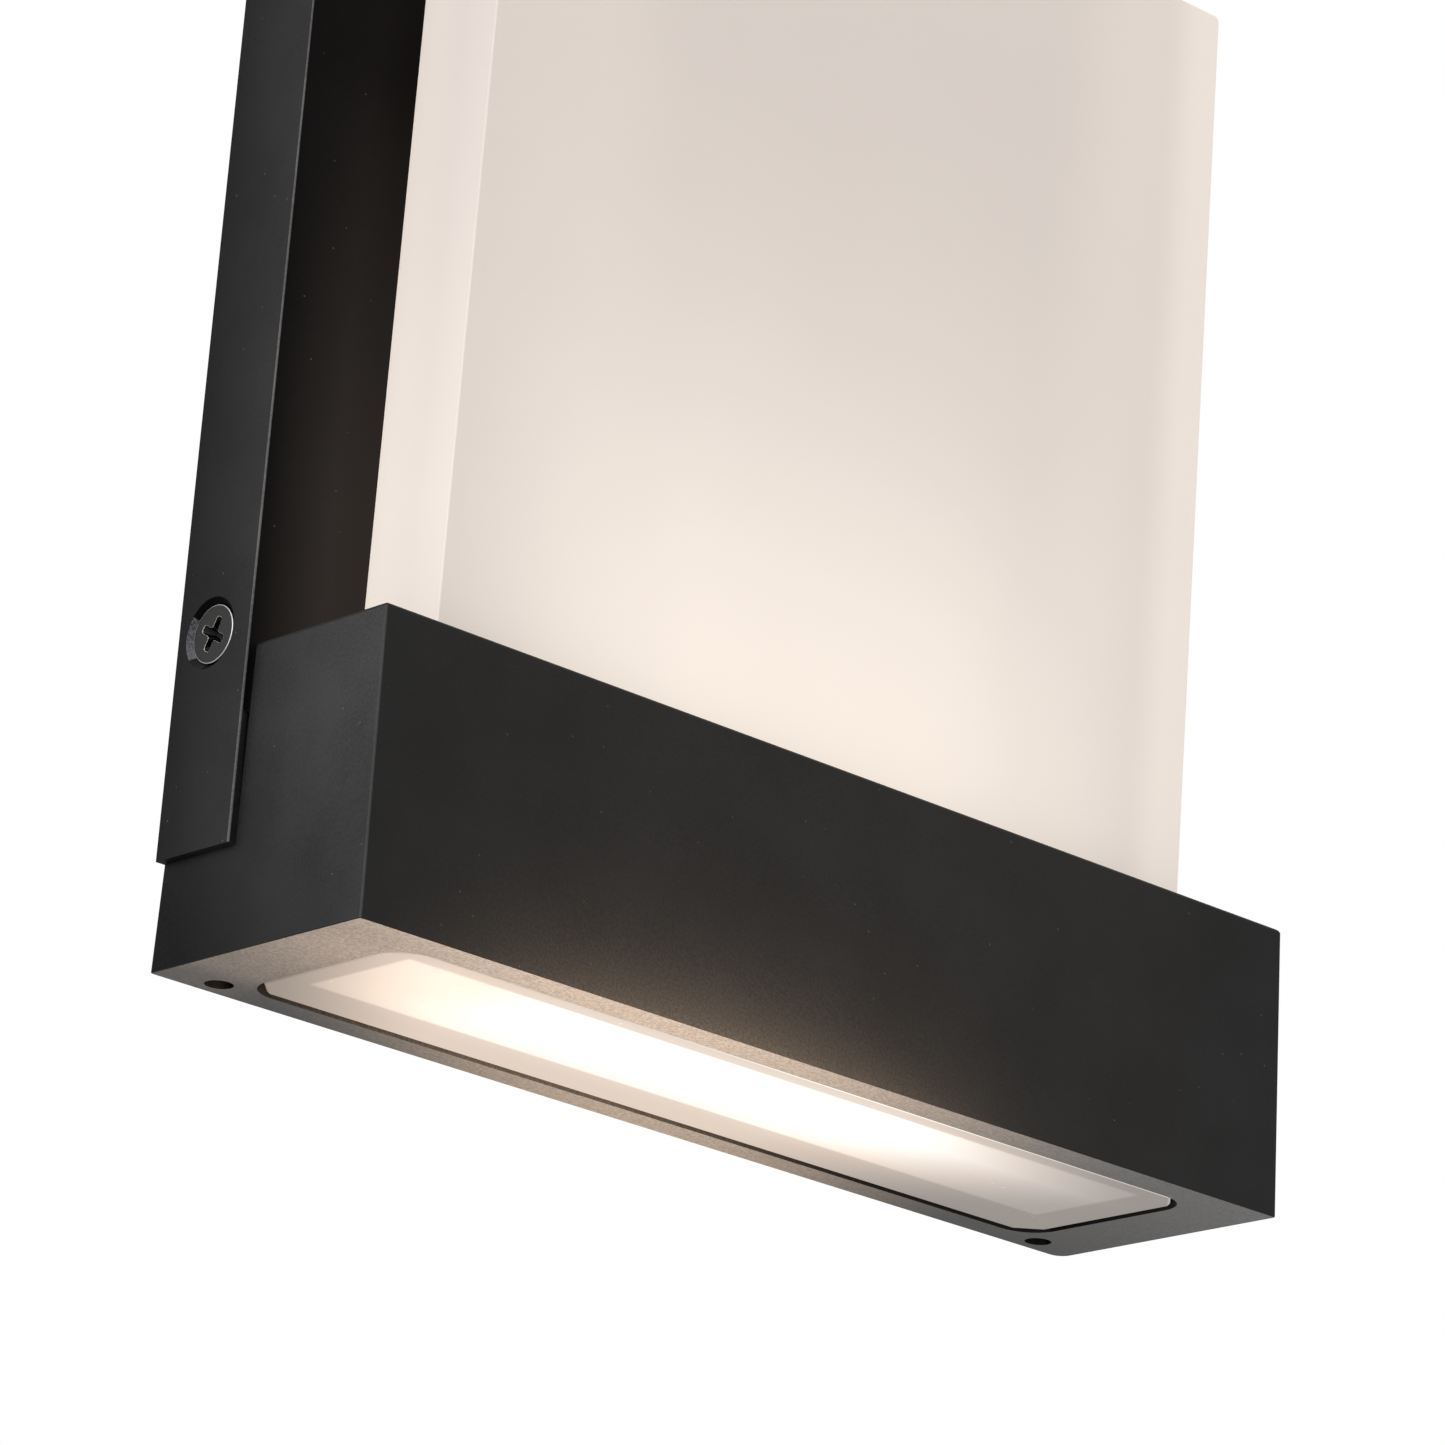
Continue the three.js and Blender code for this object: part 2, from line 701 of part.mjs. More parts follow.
function funnel(grow, z0, z1) {
  const outline = (end, side) => roundedRect(-trayOpenHalf - grow + end, trayOpenHalf + grow - end,
    trayOpenFront - grow + side, trayOpenRear + grow - side, trayCorner, fineEdgeSteps);
  return loft([[outline(0, 0), z0], [outline(trayEndTaper, traySideTaper), z1]]);
}

function reflectorTray() {
  const rim = prism(recessOutline(touch), trayBottom, trayBottom + trayRim);
  return cut(join(rim, funnel(trayWall, trayBottom + trayRim / 2, trayTop)),
    funnel(0, trayBottom - hair, trayTop + hair));
}

// a board with its row of light chips on the face that is turned up (1) or down (-1)
function ledBoard(width, mid, bottom, facing) {
  const top = bottom + boardThickness;
  const chipBottom = facing > 0 ? top - chipSunk : bottom - chipHeight;
  const chips = Array.from({ length: chipCount }, (_, i) => {
    const x = (i - (chipCount - 1) / 2) * chipPitch;
    return box(x - chipWidth / 2, x + chipWidth / 2, mid - chipDepth / 2, mid + chipDepth / 2,
      chipBottom, chipBottom + chipHeight + chipSunk);
  });
  const plate = box(-boardHalf, boardHalf, mid - width / 2, mid + width / 2, bottom, top);
  const holes = bothSides((side) => bar(m25 / 2 + holeGap, bottom - overcut, top + overcut)
    .translate(side * boardScrewX, mid, 0));
  return cut(join(plate, ...chips), ...holes);
}

// the lower board has a tab under the carrier's notch, where the link leads are soldered on
function downBoard() {
  const tab = box(leadHoleX - notchWidth / 2, leadHoleX + notchWidth / 2, tabFront, tabRear,
    downBoardBottom, downBoardTop);
  return join(ledBoard(downBoardWidth, trayMid, downBoardBottom, -1), tab);
}

function ledCarrier() {
  const plate = box(-carrierHalf, carrierHalf, carrierFront, carrierRear, carrierBottom, carrierTop);
  const notch = box(leadHoleX - notchWidth / 2, leadHoleX + notchWidth / 2, notchFront, overcut,
    carrierBottom - overcut, carrierTop + overcut);
  const holes = [];
  for (const side of [-1, 1]) {
    for (const y of [carrierScrewFront, carrierScrewRear]) {
      holes.push(bar(m3 / 2 + holeGap, carrierBottom - overcut, carrierTop + overcut)
        .translate(side * carrierScrewX, y, 0));
    }
    holes.push(bar(m25 / 2 + threadGap, carrierBottom - overcut, carrierBottom + boardThread)
      .translate(side * boardScrewX, trayMid, 0));
    holes.push(bar(m25 / 2 + threadGap, carrierTop - boardThread, carrierTop + overcut)
      .translate(side * boardScrewX, diffuserMid, 0));
  }
  return cut(plate, notch, ...holes);
}

function diffuserGasket() {
  const outer = roundedRect(-diffuserHalf, diffuserHalf, diffuserFront, diffuserRear, diffuserEdge);
  const inner = roundedRect(-diffuserHalf + diffuserWall, diffuserHalf - diffuserWall,
    diffuserFront + diffuserWall, diffuserRear - diffuserWall, gasketCorner);
  const bottom = pocketBottom + seat;
  return frame(outer, inner, bottom, bottom + gasketThickness);
}

// ---------------------------------------------------------------- wall side

function bracketHook(side) {
  const inner = (hookSpacing - hookWidth) / 2;
  const outer = (hookSpacing + hookWidth) / 2;
  const foot = bracketTop - bracketPlate;
  return join(sideBox(side, inner, outer, hookTip, 0, foot, bracketTop),
    sideBox(side, inner, outer, hookTip, hookTip + bracketPlate, foot, bracketTop + hookRise));
}

function wallSlot(side) {
  const straight = (slotLength - slotWidth) / 2;
  const shape = new THREE.Shape();
  shape.absarc(straight, 0, slotWidth / 2, -Math.PI / 2, Math.PI / 2);
  shape.absarc(-straight, 0, slotWidth / 2, Math.PI / 2, 3 * Math.PI / 2);
  const depth = bracketPlate + 2 * overcut;
  return new THREE.ExtrudeGeometry(shape, { depth, bevelEnabled: false, curveSegments: slotEndSteps })
    .rotateX(Math.PI / 2).translate(side * slotSpacing / 2, overcut, bracketMid);
}

function wallBracket() {
  const earFoot = screwHeight - earWidth / 2;
  const earTop = screwHeight + earWidth / 2;
  const plate = box(-bracketHalf, bracketHalf, -bracketPlate, 0, bracketFoot, bracketTop);
  const bridge = box(-earOuter, earOuter, -bracketPlate, 0, earFoot, earTop);
  const ears = bothSides((side) => sideBox(side, earOuter - bracketPlate, earOuter, earFront, 0,
    earFoot, earTop));
  const through = bracketPlate + overcut;
  const earHoles = bothSides((side) => aim(bar(m4 / 2 + threadGap, -through, overcut, roundSides),
    outward(side), [side * earOuter, screwY, screwHeight]));
  const terminalHoles = bothSides((side) => aim(bar(m25 / 2 + threadGap, -overcut, through), toFront,
    [side * terminalPitch / 2, 0, terminalMid]));
  const inlet = aim(bar(inletRadius, -overcut, through, roundSides), toFront, [0, 0, inletZ]);
  const earthHole = aim(bar(m4 / 2 + threadGap, -overcut, through), toFront, [earthX, 0, earthZ]);
  return cut(join(plate, bridge, ...ears, ...bothSides(bracketHook)), ...bothSides(wallSlot),
    inlet, earthHole, ...earHoles, ...terminalHoles);
}

function wallSeal() {
  const outer = panInner - touch;
  const inner = outer - wallSealWidth;
  const foot = screwHeight + wallSealAboveScrew;
  const top = panTop - panSheet - touch;
  return cut(box(-outer, outer, -wallSealDepth, 0, foot, top),
    box(-inner, inner, -wallSealDepth - overcut, overcut, 0, top - wallSealWidth));
}

function hangerStrip() {
  const half = (hookSpacing + hookWidth) / 2 + hangerOverhang;
  const lipFront = hangerLip + hangerSheet;
  return join(box(-half, half, hangerWeb, hangerWebFace, bracketTop - hangerWebDrop, hangerTop),
    box(-half, half, hangerWeb, lipFront, hangerTop - hangerSheet, hangerTop),
    box(-half, half, hangerLip, lipFront, hangerFoot, hangerTop));
}

function inletGrommet() {
  const flangeFoot = bracketPlate + inletGap;
  const flangeTop = flangeFoot + inletFlangeThickness;
  const body = join(bar(inletRadius - inletGap, touch, flangeFoot + overlap, roundSides),
    bar(inletRadius + inletFlange, flangeFoot, flangeTop, roundSides));
  return aim(cut(body, bar(inletBore, -overcut, flangeTop + overcut, roundSides)), toFront, [0, 0, inletZ]);
}

function terminalBlock() {
  const body = box(-terminalHalf, terminalHalf, terminalFront, terminalRear, terminalFoot, terminalTop);
  const holes = [];
  for (const x of [-terminalPitch, 0, terminalPitch]) {
    holes.push(bar(terminalWireHole, terminalFoot - overcut, terminalTop + overcut)
      .translate(x, terminalMidY, 0));
    for (const z of [terminalMid - terminalClampFromMid, terminalMid + terminalClampFromMid]) {
      holes.push(aim(bar(terminalClampHole, -overcut, terminalClampDepth), toWall, [x, terminalFront, z]));
    }
  }
  for (const side of [-1, 1]) {
    const x = side * terminalPitch / 2;
    const groove = (z0, z1) => box(x - terminalGroove / 2, x + terminalGroove / 2,
      terminalFront - overcut, terminalRear + overcut, z0, z1);
    holes.push(aim(bar(m25 / 2 + holeGap, -overcut, terminalDepth + overcut), toWall,
      [x, terminalFront, terminalMid]));
    holes.push(groove(terminalFoot - overcut, terminalFoot + terminalGrooveDepth));
    holes.push(groove(terminalTop - terminalGrooveDepth, terminalTop + overcut));
  }
  return cut(body, ...holes);
}

function earthWasher() {
  const outline = Array.from({ length: washerTeeth * 2 }, (_, i) => {
    const angle = i * Math.PI / washerTeeth;
    const radius = i % 2 ? washerInner : washerOuter;
    return new THREE.Vector2(radius * Math.cos(angle), radius * Math.sin(angle));
  });
  const star = new THREE.ExtrudeGeometry(new THREE.Shape(outline),
    { depth: washerThickness, bevelEnabled: false });
  const hole = bar(m4 / 2 + holeGap, -overcut, washerThickness + overcut);
  return aim(cut(star, hole), toFront, [earthX, bracketFace, earthZ]);
}

// flat ring with a neck and a square barrel that the earth lead is crimped into
function earthLug() {
  const neck = box(-lugNeck / 2, lugNeck / 2, -lugLength, -lugRadius / 2, 0, lugSheet);
  const barrel = box(-lugBarrel / 2, lugBarrel / 2, -lugLength, -lugBarrelStart, 0, lugBarrelHeight);
  const hole = bar(m4 / 2 + holeGap, -overcut, lugSheet + overcut);
  const bore = bar(mainsLeadRadius, lugBarrelStart - overcut, lugLength + overcut, leadBoreSides)
    .rotateX(Math.PI / 2).translate(0, 0, lugBarrelHeight / 2);
  return aim(cut(join(bar(lugRadius, 0, lugSheet), neck, barrel), hole, bore), toFront,
    [earthX, lugBase, earthZ]);
}

// ---------------------------------------------------------------- driver

// a box as long and high as the driver, drawn in by an inset all round
function driverBox(inset, y0, y1) {
  return box(-driverHalf + inset, driverHalf - inset, y0, y1, driverFoot + inset, driverTop - inset);
}

function driverTapePad() {
  const rear = panInnerFace + seat;
  return driverBox(driverTapeInset, rear, rear + driverTape);
}

function driverCase() {
  const entries = bothSides((side) => sideBox(side, driverHalf - driverEntryReach,
    driverHalf + driverEntryReach, driverLeadY - driverEntryFromLead, 0,
    driverMid - driverEntryWidth / 2, driverMid + driverEntryWidth / 2));
  return cut(driverBox(0, driverBase, driverLidInner - touch),
    driverBox(driverWall, driverBase + driverWall, 0), ...entries);
}

function driverLid() {
  const lipInset = driverWall + touch;
  const lipFront = driverLidInner - driverLip;
  const lip = cut(driverBox(lipInset, lipFront, driverLidInner + overlap),
    driverBox(lipInset + driverWall, lipFront - overcut, driverLidInner));
  return join(driverBox(0, driverLidInner, driverLidOuter), lip);
}

function driverBoard() {
  return driverBox(driverWall + circuitBoardGap, circuitBoardFace - circuitBoard, circuitBoardFace);
}

function transformer() {
  const half = transformerWidth / 2;
  const high = transformerHeight / 2;
  const windows = bothSides((side) => [-1, 1].map((end) => {
    const z0 = end > 0 ? high - transformerWindowDepth : -high - overcut;
    return sideBox(side, transformerWindow, 2 * transformerWindow, -overcut, driverPartHeight + overcut,
      z0, z0 + transformerWindowDepth + overcut);
  })).flat();
  const core = box(-half, half, 0, driverPartHeight, -high, high);
  return cut(core, ...windows).translate(transformerX, driverPartSeat, driverMid);
}

function lyingCapacitor(x, length) {
  const radius = driverPartHeight / 2;
  const can = join(bar(radius, 0, length), bar(radius - capacitorNeck, -leadGap, overlap));
  return can.rotateY(Math.PI / 2).translate(x, driverPartSeat + radius, driverMid + capacitorAboveMid);
}

// ---------------------------------------------------------------- leads

function leadGrommet() {
  const flangeFoot = housingRearTop + touch;
  const flangeTop = flangeFoot + grommetFlangeThickness;
  const body = join(prism(leadOval(0), shaftRoof - grommetDrop, flangeFoot + overlap),
    prism(leadOval(grommetFlange), flangeFoot, flangeTop));
  const bores = bothSides((side) => bar(leadRadius + grommetBoreGap, shaftRoof - grommetDrop - overcut,
    flangeTop + overcut, leadBoreSides).translate(leadHoleX + side * leadSpacing / 2, leadHoleY, 0));
  return cut(body, ...bores);
}

// points beside a centre line, shifted sideways in a plane of constant y
function beside(points, count, shiftAt) {
  const centre = new THREE.CatmullRomCurve3(points.map((point) => new THREE.Vector3(...point)));
  return Array.from({ length: count + 1 }, (_, i) => {
    const place = centre.getPointAt(i / count);
    const run = centre.getTangentAt(i / count);
    const shift = shiftAt(i / count) / Math.hypot(run.x, run.z);
    return [place.x - shift * run.z, place.y, place.z + shift * run.x];
  });
}

// from the driver's output end, through the grommet and forward onto the upper board
function ledLead(side) {
  const end = driverHalf + leadEnd;
  const x = leadHoleX + side * leadSpacing / 2;
  const padY = diffuserMid + upBoardWidth / 2;
  const padZ = upBoardTop + leadRadius + touch;
  const inPan = [
    [end, driverLeadY, driverMid], [end + 6, driverLeadY, driverMid - 2],
    [end + 9, driverLeadY, driverMid - 10], [end + 7, driverLeadY, driverFoot - 1],
    [leadHoleX + 7, driverLeadY, housingRearTop + 13],
  ];
  return lead(leadRadius, [...beside(inPan, ledLeadShifts, () => side * leadSpacing / 2),
    [x + 0.2, leadHoleY, housingRearTop + 4], [x, leadHoleY, housingRearTop + 1.8],
    [x, leadHoleY, shaftRoof + 0.8], [x, leadHoleY, shaftRoof - 0.7],
    [x, leadHoleY - 0.8, shaftRoof - 1.9], [x, leadHoleY - 2.5, shaftRoof - 2.4],
    [x, leadHoleY - 5.7, shaftRoof - 2.2], [x, padY + 1.4, padZ], [x, padY - 2, padZ],
  ]);
}

// from the upper board's rear edge, through the carrier's notch and onto the lower board's tab
function linkLead(side) {
  const x = leadHoleX + side * linkLeadOffset;
  const padY = diffuserMid + upBoardWidth / 2;
  const padZ = upBoardTop + leadRadius + touch;
  return lead(leadRadius, [
    [x, padY - 2, padZ], [x, padY + 1.4, padZ], [x, notchFront - 1.6, carrierTop + 1.5],
    [x, notchFront + 0.3, carrierTop + 1.3], [x, notchFront + 1.5, carrierTop + 0.4],
    [x, notchFront + 1.9, carrierTop - 1], [x, notchFront + 1.9, downBoardTop + touch],
  ]);
}

// two leads from the terminal block to the driver's input end; they close up as they go
function mainsLead(side) {
  const end = -driverHalf - leadEnd;
  const x = -terminalPitch / 2;
  const spacing = (part) => THREE.MathUtils.lerp(terminalPitch, mainsLeadSpacing, Math.min(1, 3 * part));
  return lead(mainsLeadRadius, beside([
    [x, terminalMidY, terminalFoot - leadGap], [x, terminalMidY, terminalFoot - 5],
    [x - 8, terminalMidY, terminalFoot - 12], [end + 8, terminalMidY, driverTop + 9],
    [end - 5, terminalMidY, driverTop + 1], [end - 9, driverLeadY, driverMid + 9],
    [end - 7, driverLeadY, driverMid + 2], [end, driverLeadY, driverMid],
  ], mainsLeadShifts, (part) => side * spacing(part) / 2));
}

function earthLeadTube() {
  const x = terminalPitch;
  return lead(earthLeadRadius, [
    [x, terminalMidY, terminalTop + leadGap], [x, terminalMidY, terminalTop + 4],
    [x + 6, terminalMidY, terminalTop + 8], [earthX - 9, terminalMidY + 1, earthZ - 19],
    [earthX - 1, lugBoreY, earthZ - 15], [earthX, lugBoreY, earthZ - lugLength - leadEnd],
  ]);
}

// ---------------------------------------------------------------- assembly

const lantern = new THREE.Group();

function add(name, geometry, material) {
  const mesh = new THREE.Mesh(geometry, material);
  mesh.name = name;
  lantern.add(mesh);
}

// two copies of a piece, placed left and right
function addPair(name, material, make) {
  add(`${name}_left`, make(-1), material);
  add(`${name}_right`, make(1), material);
}

add("back_pan", backPan(), blackCoat);
add("lamp_housing", lampHousing(), blackCoat);
add("diffuser", diffuser(), opal);
add("diffuser_gasket", diffuserGasket(), silicone);
add("lens_glass", lensGlass(), frosted);
add("lens_seal", lensSeal(), silicone);
add("reflector_tray", reflectorTray(), whitePlastic);
add("led_carrier", ledCarrier(), aluminium);
add("down_led_board", downBoard(), boardWhite);
add("up_led_board", ledBoard(upBoardWidth, diffuserMid, upBoardBottom, 1), boardWhite);

addPair("diffuser_screw", zincSteel, (side) => aim(panHeadScrew(m25, diffuserScrewLength), toFloor,
  [side * diffuserScrewX, diffuserMid, upperShaftRoof - seat]));
addPair("down_board_screw", zincSteel, (side) => aim(panHeadScrew(m25, boardScrewLength), toFloor,
  [side * boardScrewX, trayMid, downBoardBottom - seat]));
addPair("up_board_screw", zincSteel, (side) => aim(panHeadScrew(m25, boardScrewLength), toTop,
  [side * boardScrewX, diffuserMid, upBoardTop + seat]));
addPair("carrier_front_screw", zincSteel, (side) => aim(panHeadScrew(m3, carrierScrewLength), toFloor,
  [side * carrierScrewX, carrierScrewFront, carrierBottom - seat]));
addPair("carrier_rear_screw", zincSteel, (side) => aim(panHeadScrew(m3, carrierScrewLength), toFloor,
  [side * carrierScrewX, carrierScrewRear, carrierBottom - seat]));
addPair("pan_screw", zincSteel, (side) => aim(panHeadScrew(m3, panScrewLength), toWall,
  [side * panScrewX, panInnerFace + seat, panScrewZ]));

add("wall_bracket", wallBracket(), zincSteel);
add("wall_seal", wallSeal(), foam);
add("hanger_strip", hangerStrip(), zincSteel);
add("inlet_grommet", inletGrommet(), rubber);
add("terminal_block", terminalBlock(), whitePlastic);
addPair("terminal_screw", zincSteel, (side) => aim(panHeadScrew(m25, terminalDepth + terminalScrewReach),
  toFront, [side * terminalPitch / 2, terminalFront - seat, terminalMid]));
add("earth_washer", earthWasher(), zincSteel);
add("earth_lug", earthLug(), brass);
add("earth_screw", aim(panHeadScrew(m4, earthScrewLength), toFront, [earthX, lugFace - seat, earthZ]),
  brass);

add("driver_tape", driverTapePad(), foam);
add("driver_case", driverCase(), whitePlastic);
add("driver_lid", driverLid(), whitePlastic);
add("driver_board", driverBoard(), boardGreen);
add("driver_transformer", transformer(), darkPart);
add("driver_input_capacitor", lyingCapacitor(inputCapacitorX, inputCapacitorLength), darkPart);
add("driver_output_capacitor", lyingCapacitor(outputCapacitorX, outputCapacitorLength), darkPart);

add("lead_grommet", leadGrommet(), rubber);
add("led_lead_red", ledLead(1), redLead);
add("led_lead_black", ledLead(-1), blackLead);
add("link_lead_red", linkLead(1), redLead);
add("link_lead_black", linkLead(-1), blackLead);
add("mains_lead_live", mainsLead(-1), brownLead);
add("mains_lead_neutral", mainsLead(1), blueLead);
add("mains_lead_earth", earthLeadTube(), earthLead);

addPair("screw_seal", rubber, (side) => aim(sealRing(), outward(side),
  [side * sideScrewX, screwY, screwHeight]));
addPair("side_screw", blackSteel, (side) => aim(countersunkScrew(), outward(side),
  [side * sideScrewX, screwY, screwHeight]));

lantern.position.z = -bracketMid;

export default lantern;
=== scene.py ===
# %% [markdown]
# # An outdoor wall lantern
# The real object is a black powder coated lantern that hangs on a steel wall bracket. A flat
# back pan carries a box housing with a frosted pane below, and an opal block stands on the
# housing in front of the pan. Light leaves through the pane and through the block.
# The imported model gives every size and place. This script gives the pieces that the eye
# meets a finer shape, and gives every piece a finish.

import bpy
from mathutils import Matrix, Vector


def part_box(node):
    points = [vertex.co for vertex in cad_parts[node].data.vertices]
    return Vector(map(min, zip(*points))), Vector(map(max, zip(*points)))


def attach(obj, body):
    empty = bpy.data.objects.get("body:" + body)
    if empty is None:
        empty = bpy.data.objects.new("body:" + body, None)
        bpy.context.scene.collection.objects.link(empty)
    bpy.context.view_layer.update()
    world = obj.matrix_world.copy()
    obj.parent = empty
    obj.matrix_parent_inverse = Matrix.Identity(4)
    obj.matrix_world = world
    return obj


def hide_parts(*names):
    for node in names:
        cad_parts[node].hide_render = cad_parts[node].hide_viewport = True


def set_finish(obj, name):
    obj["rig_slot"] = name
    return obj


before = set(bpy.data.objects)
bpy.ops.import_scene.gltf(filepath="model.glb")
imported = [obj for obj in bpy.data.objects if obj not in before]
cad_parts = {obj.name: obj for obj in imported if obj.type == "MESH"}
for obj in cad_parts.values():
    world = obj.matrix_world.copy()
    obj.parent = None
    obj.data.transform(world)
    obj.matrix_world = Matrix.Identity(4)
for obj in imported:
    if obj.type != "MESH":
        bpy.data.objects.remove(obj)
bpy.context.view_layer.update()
print("nodes in the frame:", len(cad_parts))

# %% Tools and units
import math
from functools import partial

import bmesh
import bpy
from mathutils import Matrix, Quaternion, Vector

MM = 0.001
DEGREE = math.pi / 180

# %% [markdown]
# ## Where things are
# Three nodes give most of the places: the pan, the housing and the diffuser block. Every
# height below is counted up from the housing's underside, so a named height in millimetres
# means the same here as it would on a drawing of the lantern.

# %% Boxes of the main pieces
pan_low, pan_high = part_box("back_pan")
housing_low, housing_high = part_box("lamp_housing")
block_low, block_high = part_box("diffuser")
pane_low, pane_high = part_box("lens_glass")
floor_of_housing = housing_low.z


def up(height):
    """The place of a height in millimetres above the housing's underside."""
    return floor_of_housing + height * MM


def middle_of(node):
    """The x, y and z of the middle of a node's box."""
    return [(low + high) / 2 for low, high in zip(*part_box(node))]


print("pan", pan_low, pan_high)
print("housing", housing_low, housing_high)
print("diffuser", block_low, block_high)

# %% [markdown]
# ## The camera
# The lantern is seen from below and from its left, through a long lens, so its upright edges
# stay nearly parallel. The camera is placed by an angle round the object, an angle up or
# down, and a distance from the point it aims at. A small roll about its own axis follows.

# %% Camera
AROUND = -41.445 * DEGREE
ABOVE = -18.788 * DEGREE
ROLL = 4.353 * DEGREE
DISTANCE = 0.82889
aim_point = Vector((-18.07 * MM, block_low.y, up(43.25)))

back = Vector((
    math.sin(AROUND) * math.cos(ABOVE),
    -math.cos(AROUND) * math.cos(ABOVE),
    math.sin(ABOVE),
))
camera_data = bpy.data.cameras.new("camera")
camera_data.sensor_width = 36
camera_data.lens = 163.87
camera_data.clip_start = 0.01
camera = bpy.data.objects.new("camera", camera_data)
bpy.context.scene.collection.objects.link(camera)
camera.location = aim_point + back * DISTANCE
camera.rotation_mode = "QUATERNION"
level = (-back).to_track_quat("-Z", "Y")
camera.rotation_quaternion = level @ Quaternion((0, 0, 1), ROLL)
bpy.context.scene.camera = camera
print("camera at", camera.location)

# %% [markdown]
# ## Helpers for modelling
# Each piece starts as a primitive at its real size and place. Its faces and edges are then
# picked by where they are or which way they face, and shaped with the same operators that
# a person would use by hand. These helpers keep that short.


# %% Start, pick and finish
def rest():
    """Leaves edit mode with nothing selected."""
    if bpy.context.mode != "OBJECT":
        bpy.ops.object.mode_set(mode="OBJECT")
    bpy.ops.object.select_all(action="DESELECT")


def settle(name):
    """Names the new primitive and moves its place and turn into its mesh."""
    piece = bpy.context.active_object
    piece.name = name
    piece.data.name = name
    bpy.ops.object.transform_apply(location=True, rotation=True, scale=True)
    rest()
    return piece


def block(name, corner, far_corner):
    """A block between two opposite corners."""
    rest()
    low = Vector([min(ends) for ends in zip(corner, far_corner)])
    high = Vector([max(ends) for ends in zip(corner, far_corner)])
    bpy.ops.mesh.primitive_cube_add(size=1, location=(low + high) / 2, scale=high - low)
    return settle(name)


def rod(name, start, end, radius, end_radius=None, sides=48):
    """A round bar or cone from one point to another."""
    rest()
    start, end = Vector(start), Vector(end)
    along = end - start
    bpy.ops.mesh.primitive_cone_add(
        vertices=sides,
        radius1=radius,
        radius2=radius if end_radius is None else end_radius,
        depth=along.length,
        location=(start + end) / 2,
        rotation=Vector((0, 0, 1)).rotation_difference(along).to_euler(),
    )
    return settle(name)


def pick(piece, kind, test):
    """Selects the parts of a mesh that pass a test of their middle and their direction."""
    rest()
    piece.select_set(True)
    bpy.context.view_layer.objects.active = piece
    bpy.ops.object.mode_set(mode="EDIT")
    bpy.ops.mesh.select_mode(type=kind)
    bpy.ops.mesh.select_all(action="DESELECT")
    shape = bmesh.from_edit_mesh(piece.data)
    parts = {"VERT": shape.verts, "EDGE": shape.edges, "FACE": shape.faces}[kind]
    chosen = 0
    for part in parts:
        if kind == "FACE":
            middle, way = part.calc_center_median(), part.normal
        elif kind == "EDGE":
            a, b = (corner.co for corner in part.verts)
            middle, way = (a + b) / 2, (b - a).normalized()
        else:
            middle, way = part.co, part.normal
        if test(middle, way):
            part.select_set(True)
            chosen += 1
    shape.select_flush_mode()
    bmesh.update_edit_mesh(piece.data)
    return chosen


def round_edges(piece, radius, steps, test):
    """Rounds the edges that pass a test."""
    chosen = pick(piece, "EDGE", test)
    bpy.ops.mesh.bevel(offset=radius, segments=steps, affect="EDGES")
    rest()
    print(f"  {piece.name}: rounded {chosen} edges by {radius / MM:.2f} mm")


def split(piece, place, normal):
    """Cuts new edges where a plane crosses the whole piece."""
    pick(piece, "FACE", lambda middle, way: True)
    bpy.ops.mesh.bisect(plane_co=place, plane_no=normal)
    rest()


def push(x=0.0, y=0.0, z=0.0):
    """Extrudes the picked faces by a distance along each axis."""
    bpy.ops.mesh.extrude_region_move(TRANSFORM_OT_translate={"value": (x, y, z)})


def apply_modifier(piece, kind, **settings):
    """Adds a modifier with its settings and applies it."""
    rest()
    bpy.context.view_layer.objects.active = piece
    modifier = piece.modifiers.new(kind.lower(), kind)
    for name, value in settings.items():
        setattr(modifier, name, value)
    bpy.ops.object.modifier_apply(modifier=modifier.name)


def carve(piece, *tools, operation="DIFFERENCE"):
    """Cuts tools out of a piece, or joins them to it, and throws the tools away."""
    for tool in tools:
        apply_modifier(piece, "BOOLEAN", object=tool, operation=operation, solver="EXACT")
        bpy.data.objects.remove(tool)


def finish(piece, edge=0.0, sharper_than=35):
    """Breaks the sharp edges a little and shades the piece, so that flat faces stay flat."""
    if edge:
        apply_modifier(piece, "BEVEL", width=edge, segments=2, limit_method="ANGLE",
                       angle_limit=sharper_than * DEGREE)
    rest()
    piece.select_set(True)
    bpy.context.view_layer.objects.active = piece
    bpy.ops.object.shade_smooth_by_angle(angle=40 * DEGREE)
    apply_modifier(piece, "WEIGHTED_NORMAL", keep_sharp=True, weight=90)
    rest()
    print(f"{piece.name}: {len(piece.data.polygons)} faces")


def place(piece, name, body, slot, node):
    """Puts a finished piece on its body, in place of the frame's own node."""
    piece.name = name
    piece.data.name = name
    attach(piece, body)
    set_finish(piece, slot)
    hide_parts(node)


def is_along(way, axis):
    """True for an edge or a normal that runs along an axis, 0 for x, 1 for y and 2 for z."""
    return abs(way[axis]) > 0.99


def is_at(place_of_part, place_wanted):
    """True when two places along an axis are the same."""
    return abs(place_of_part - place_wanted) < 0.01 * MM


# %% [markdown]
# ## The back pan
# The pan is pressed from 1.4 mm steel sheet: a flat face with its top and both sides folded
# back to the wall. The face ends on a step in the housing's back, and only the two side
# flanges run on down past it. A block loses the faces that the pan lacks, and the skin is
# thickened inwards. The outer folds are rounded last: their radius is smaller than the sheet
# is thick, and a thickened skin would turn back on itself inside a round that is so tight.

# %% Back pan
SHEET = 1.4 * MM
FACE_FOOT = 31.0
FOLD = 0.3 * MM
TOP_FOLD = 1.1 * MM

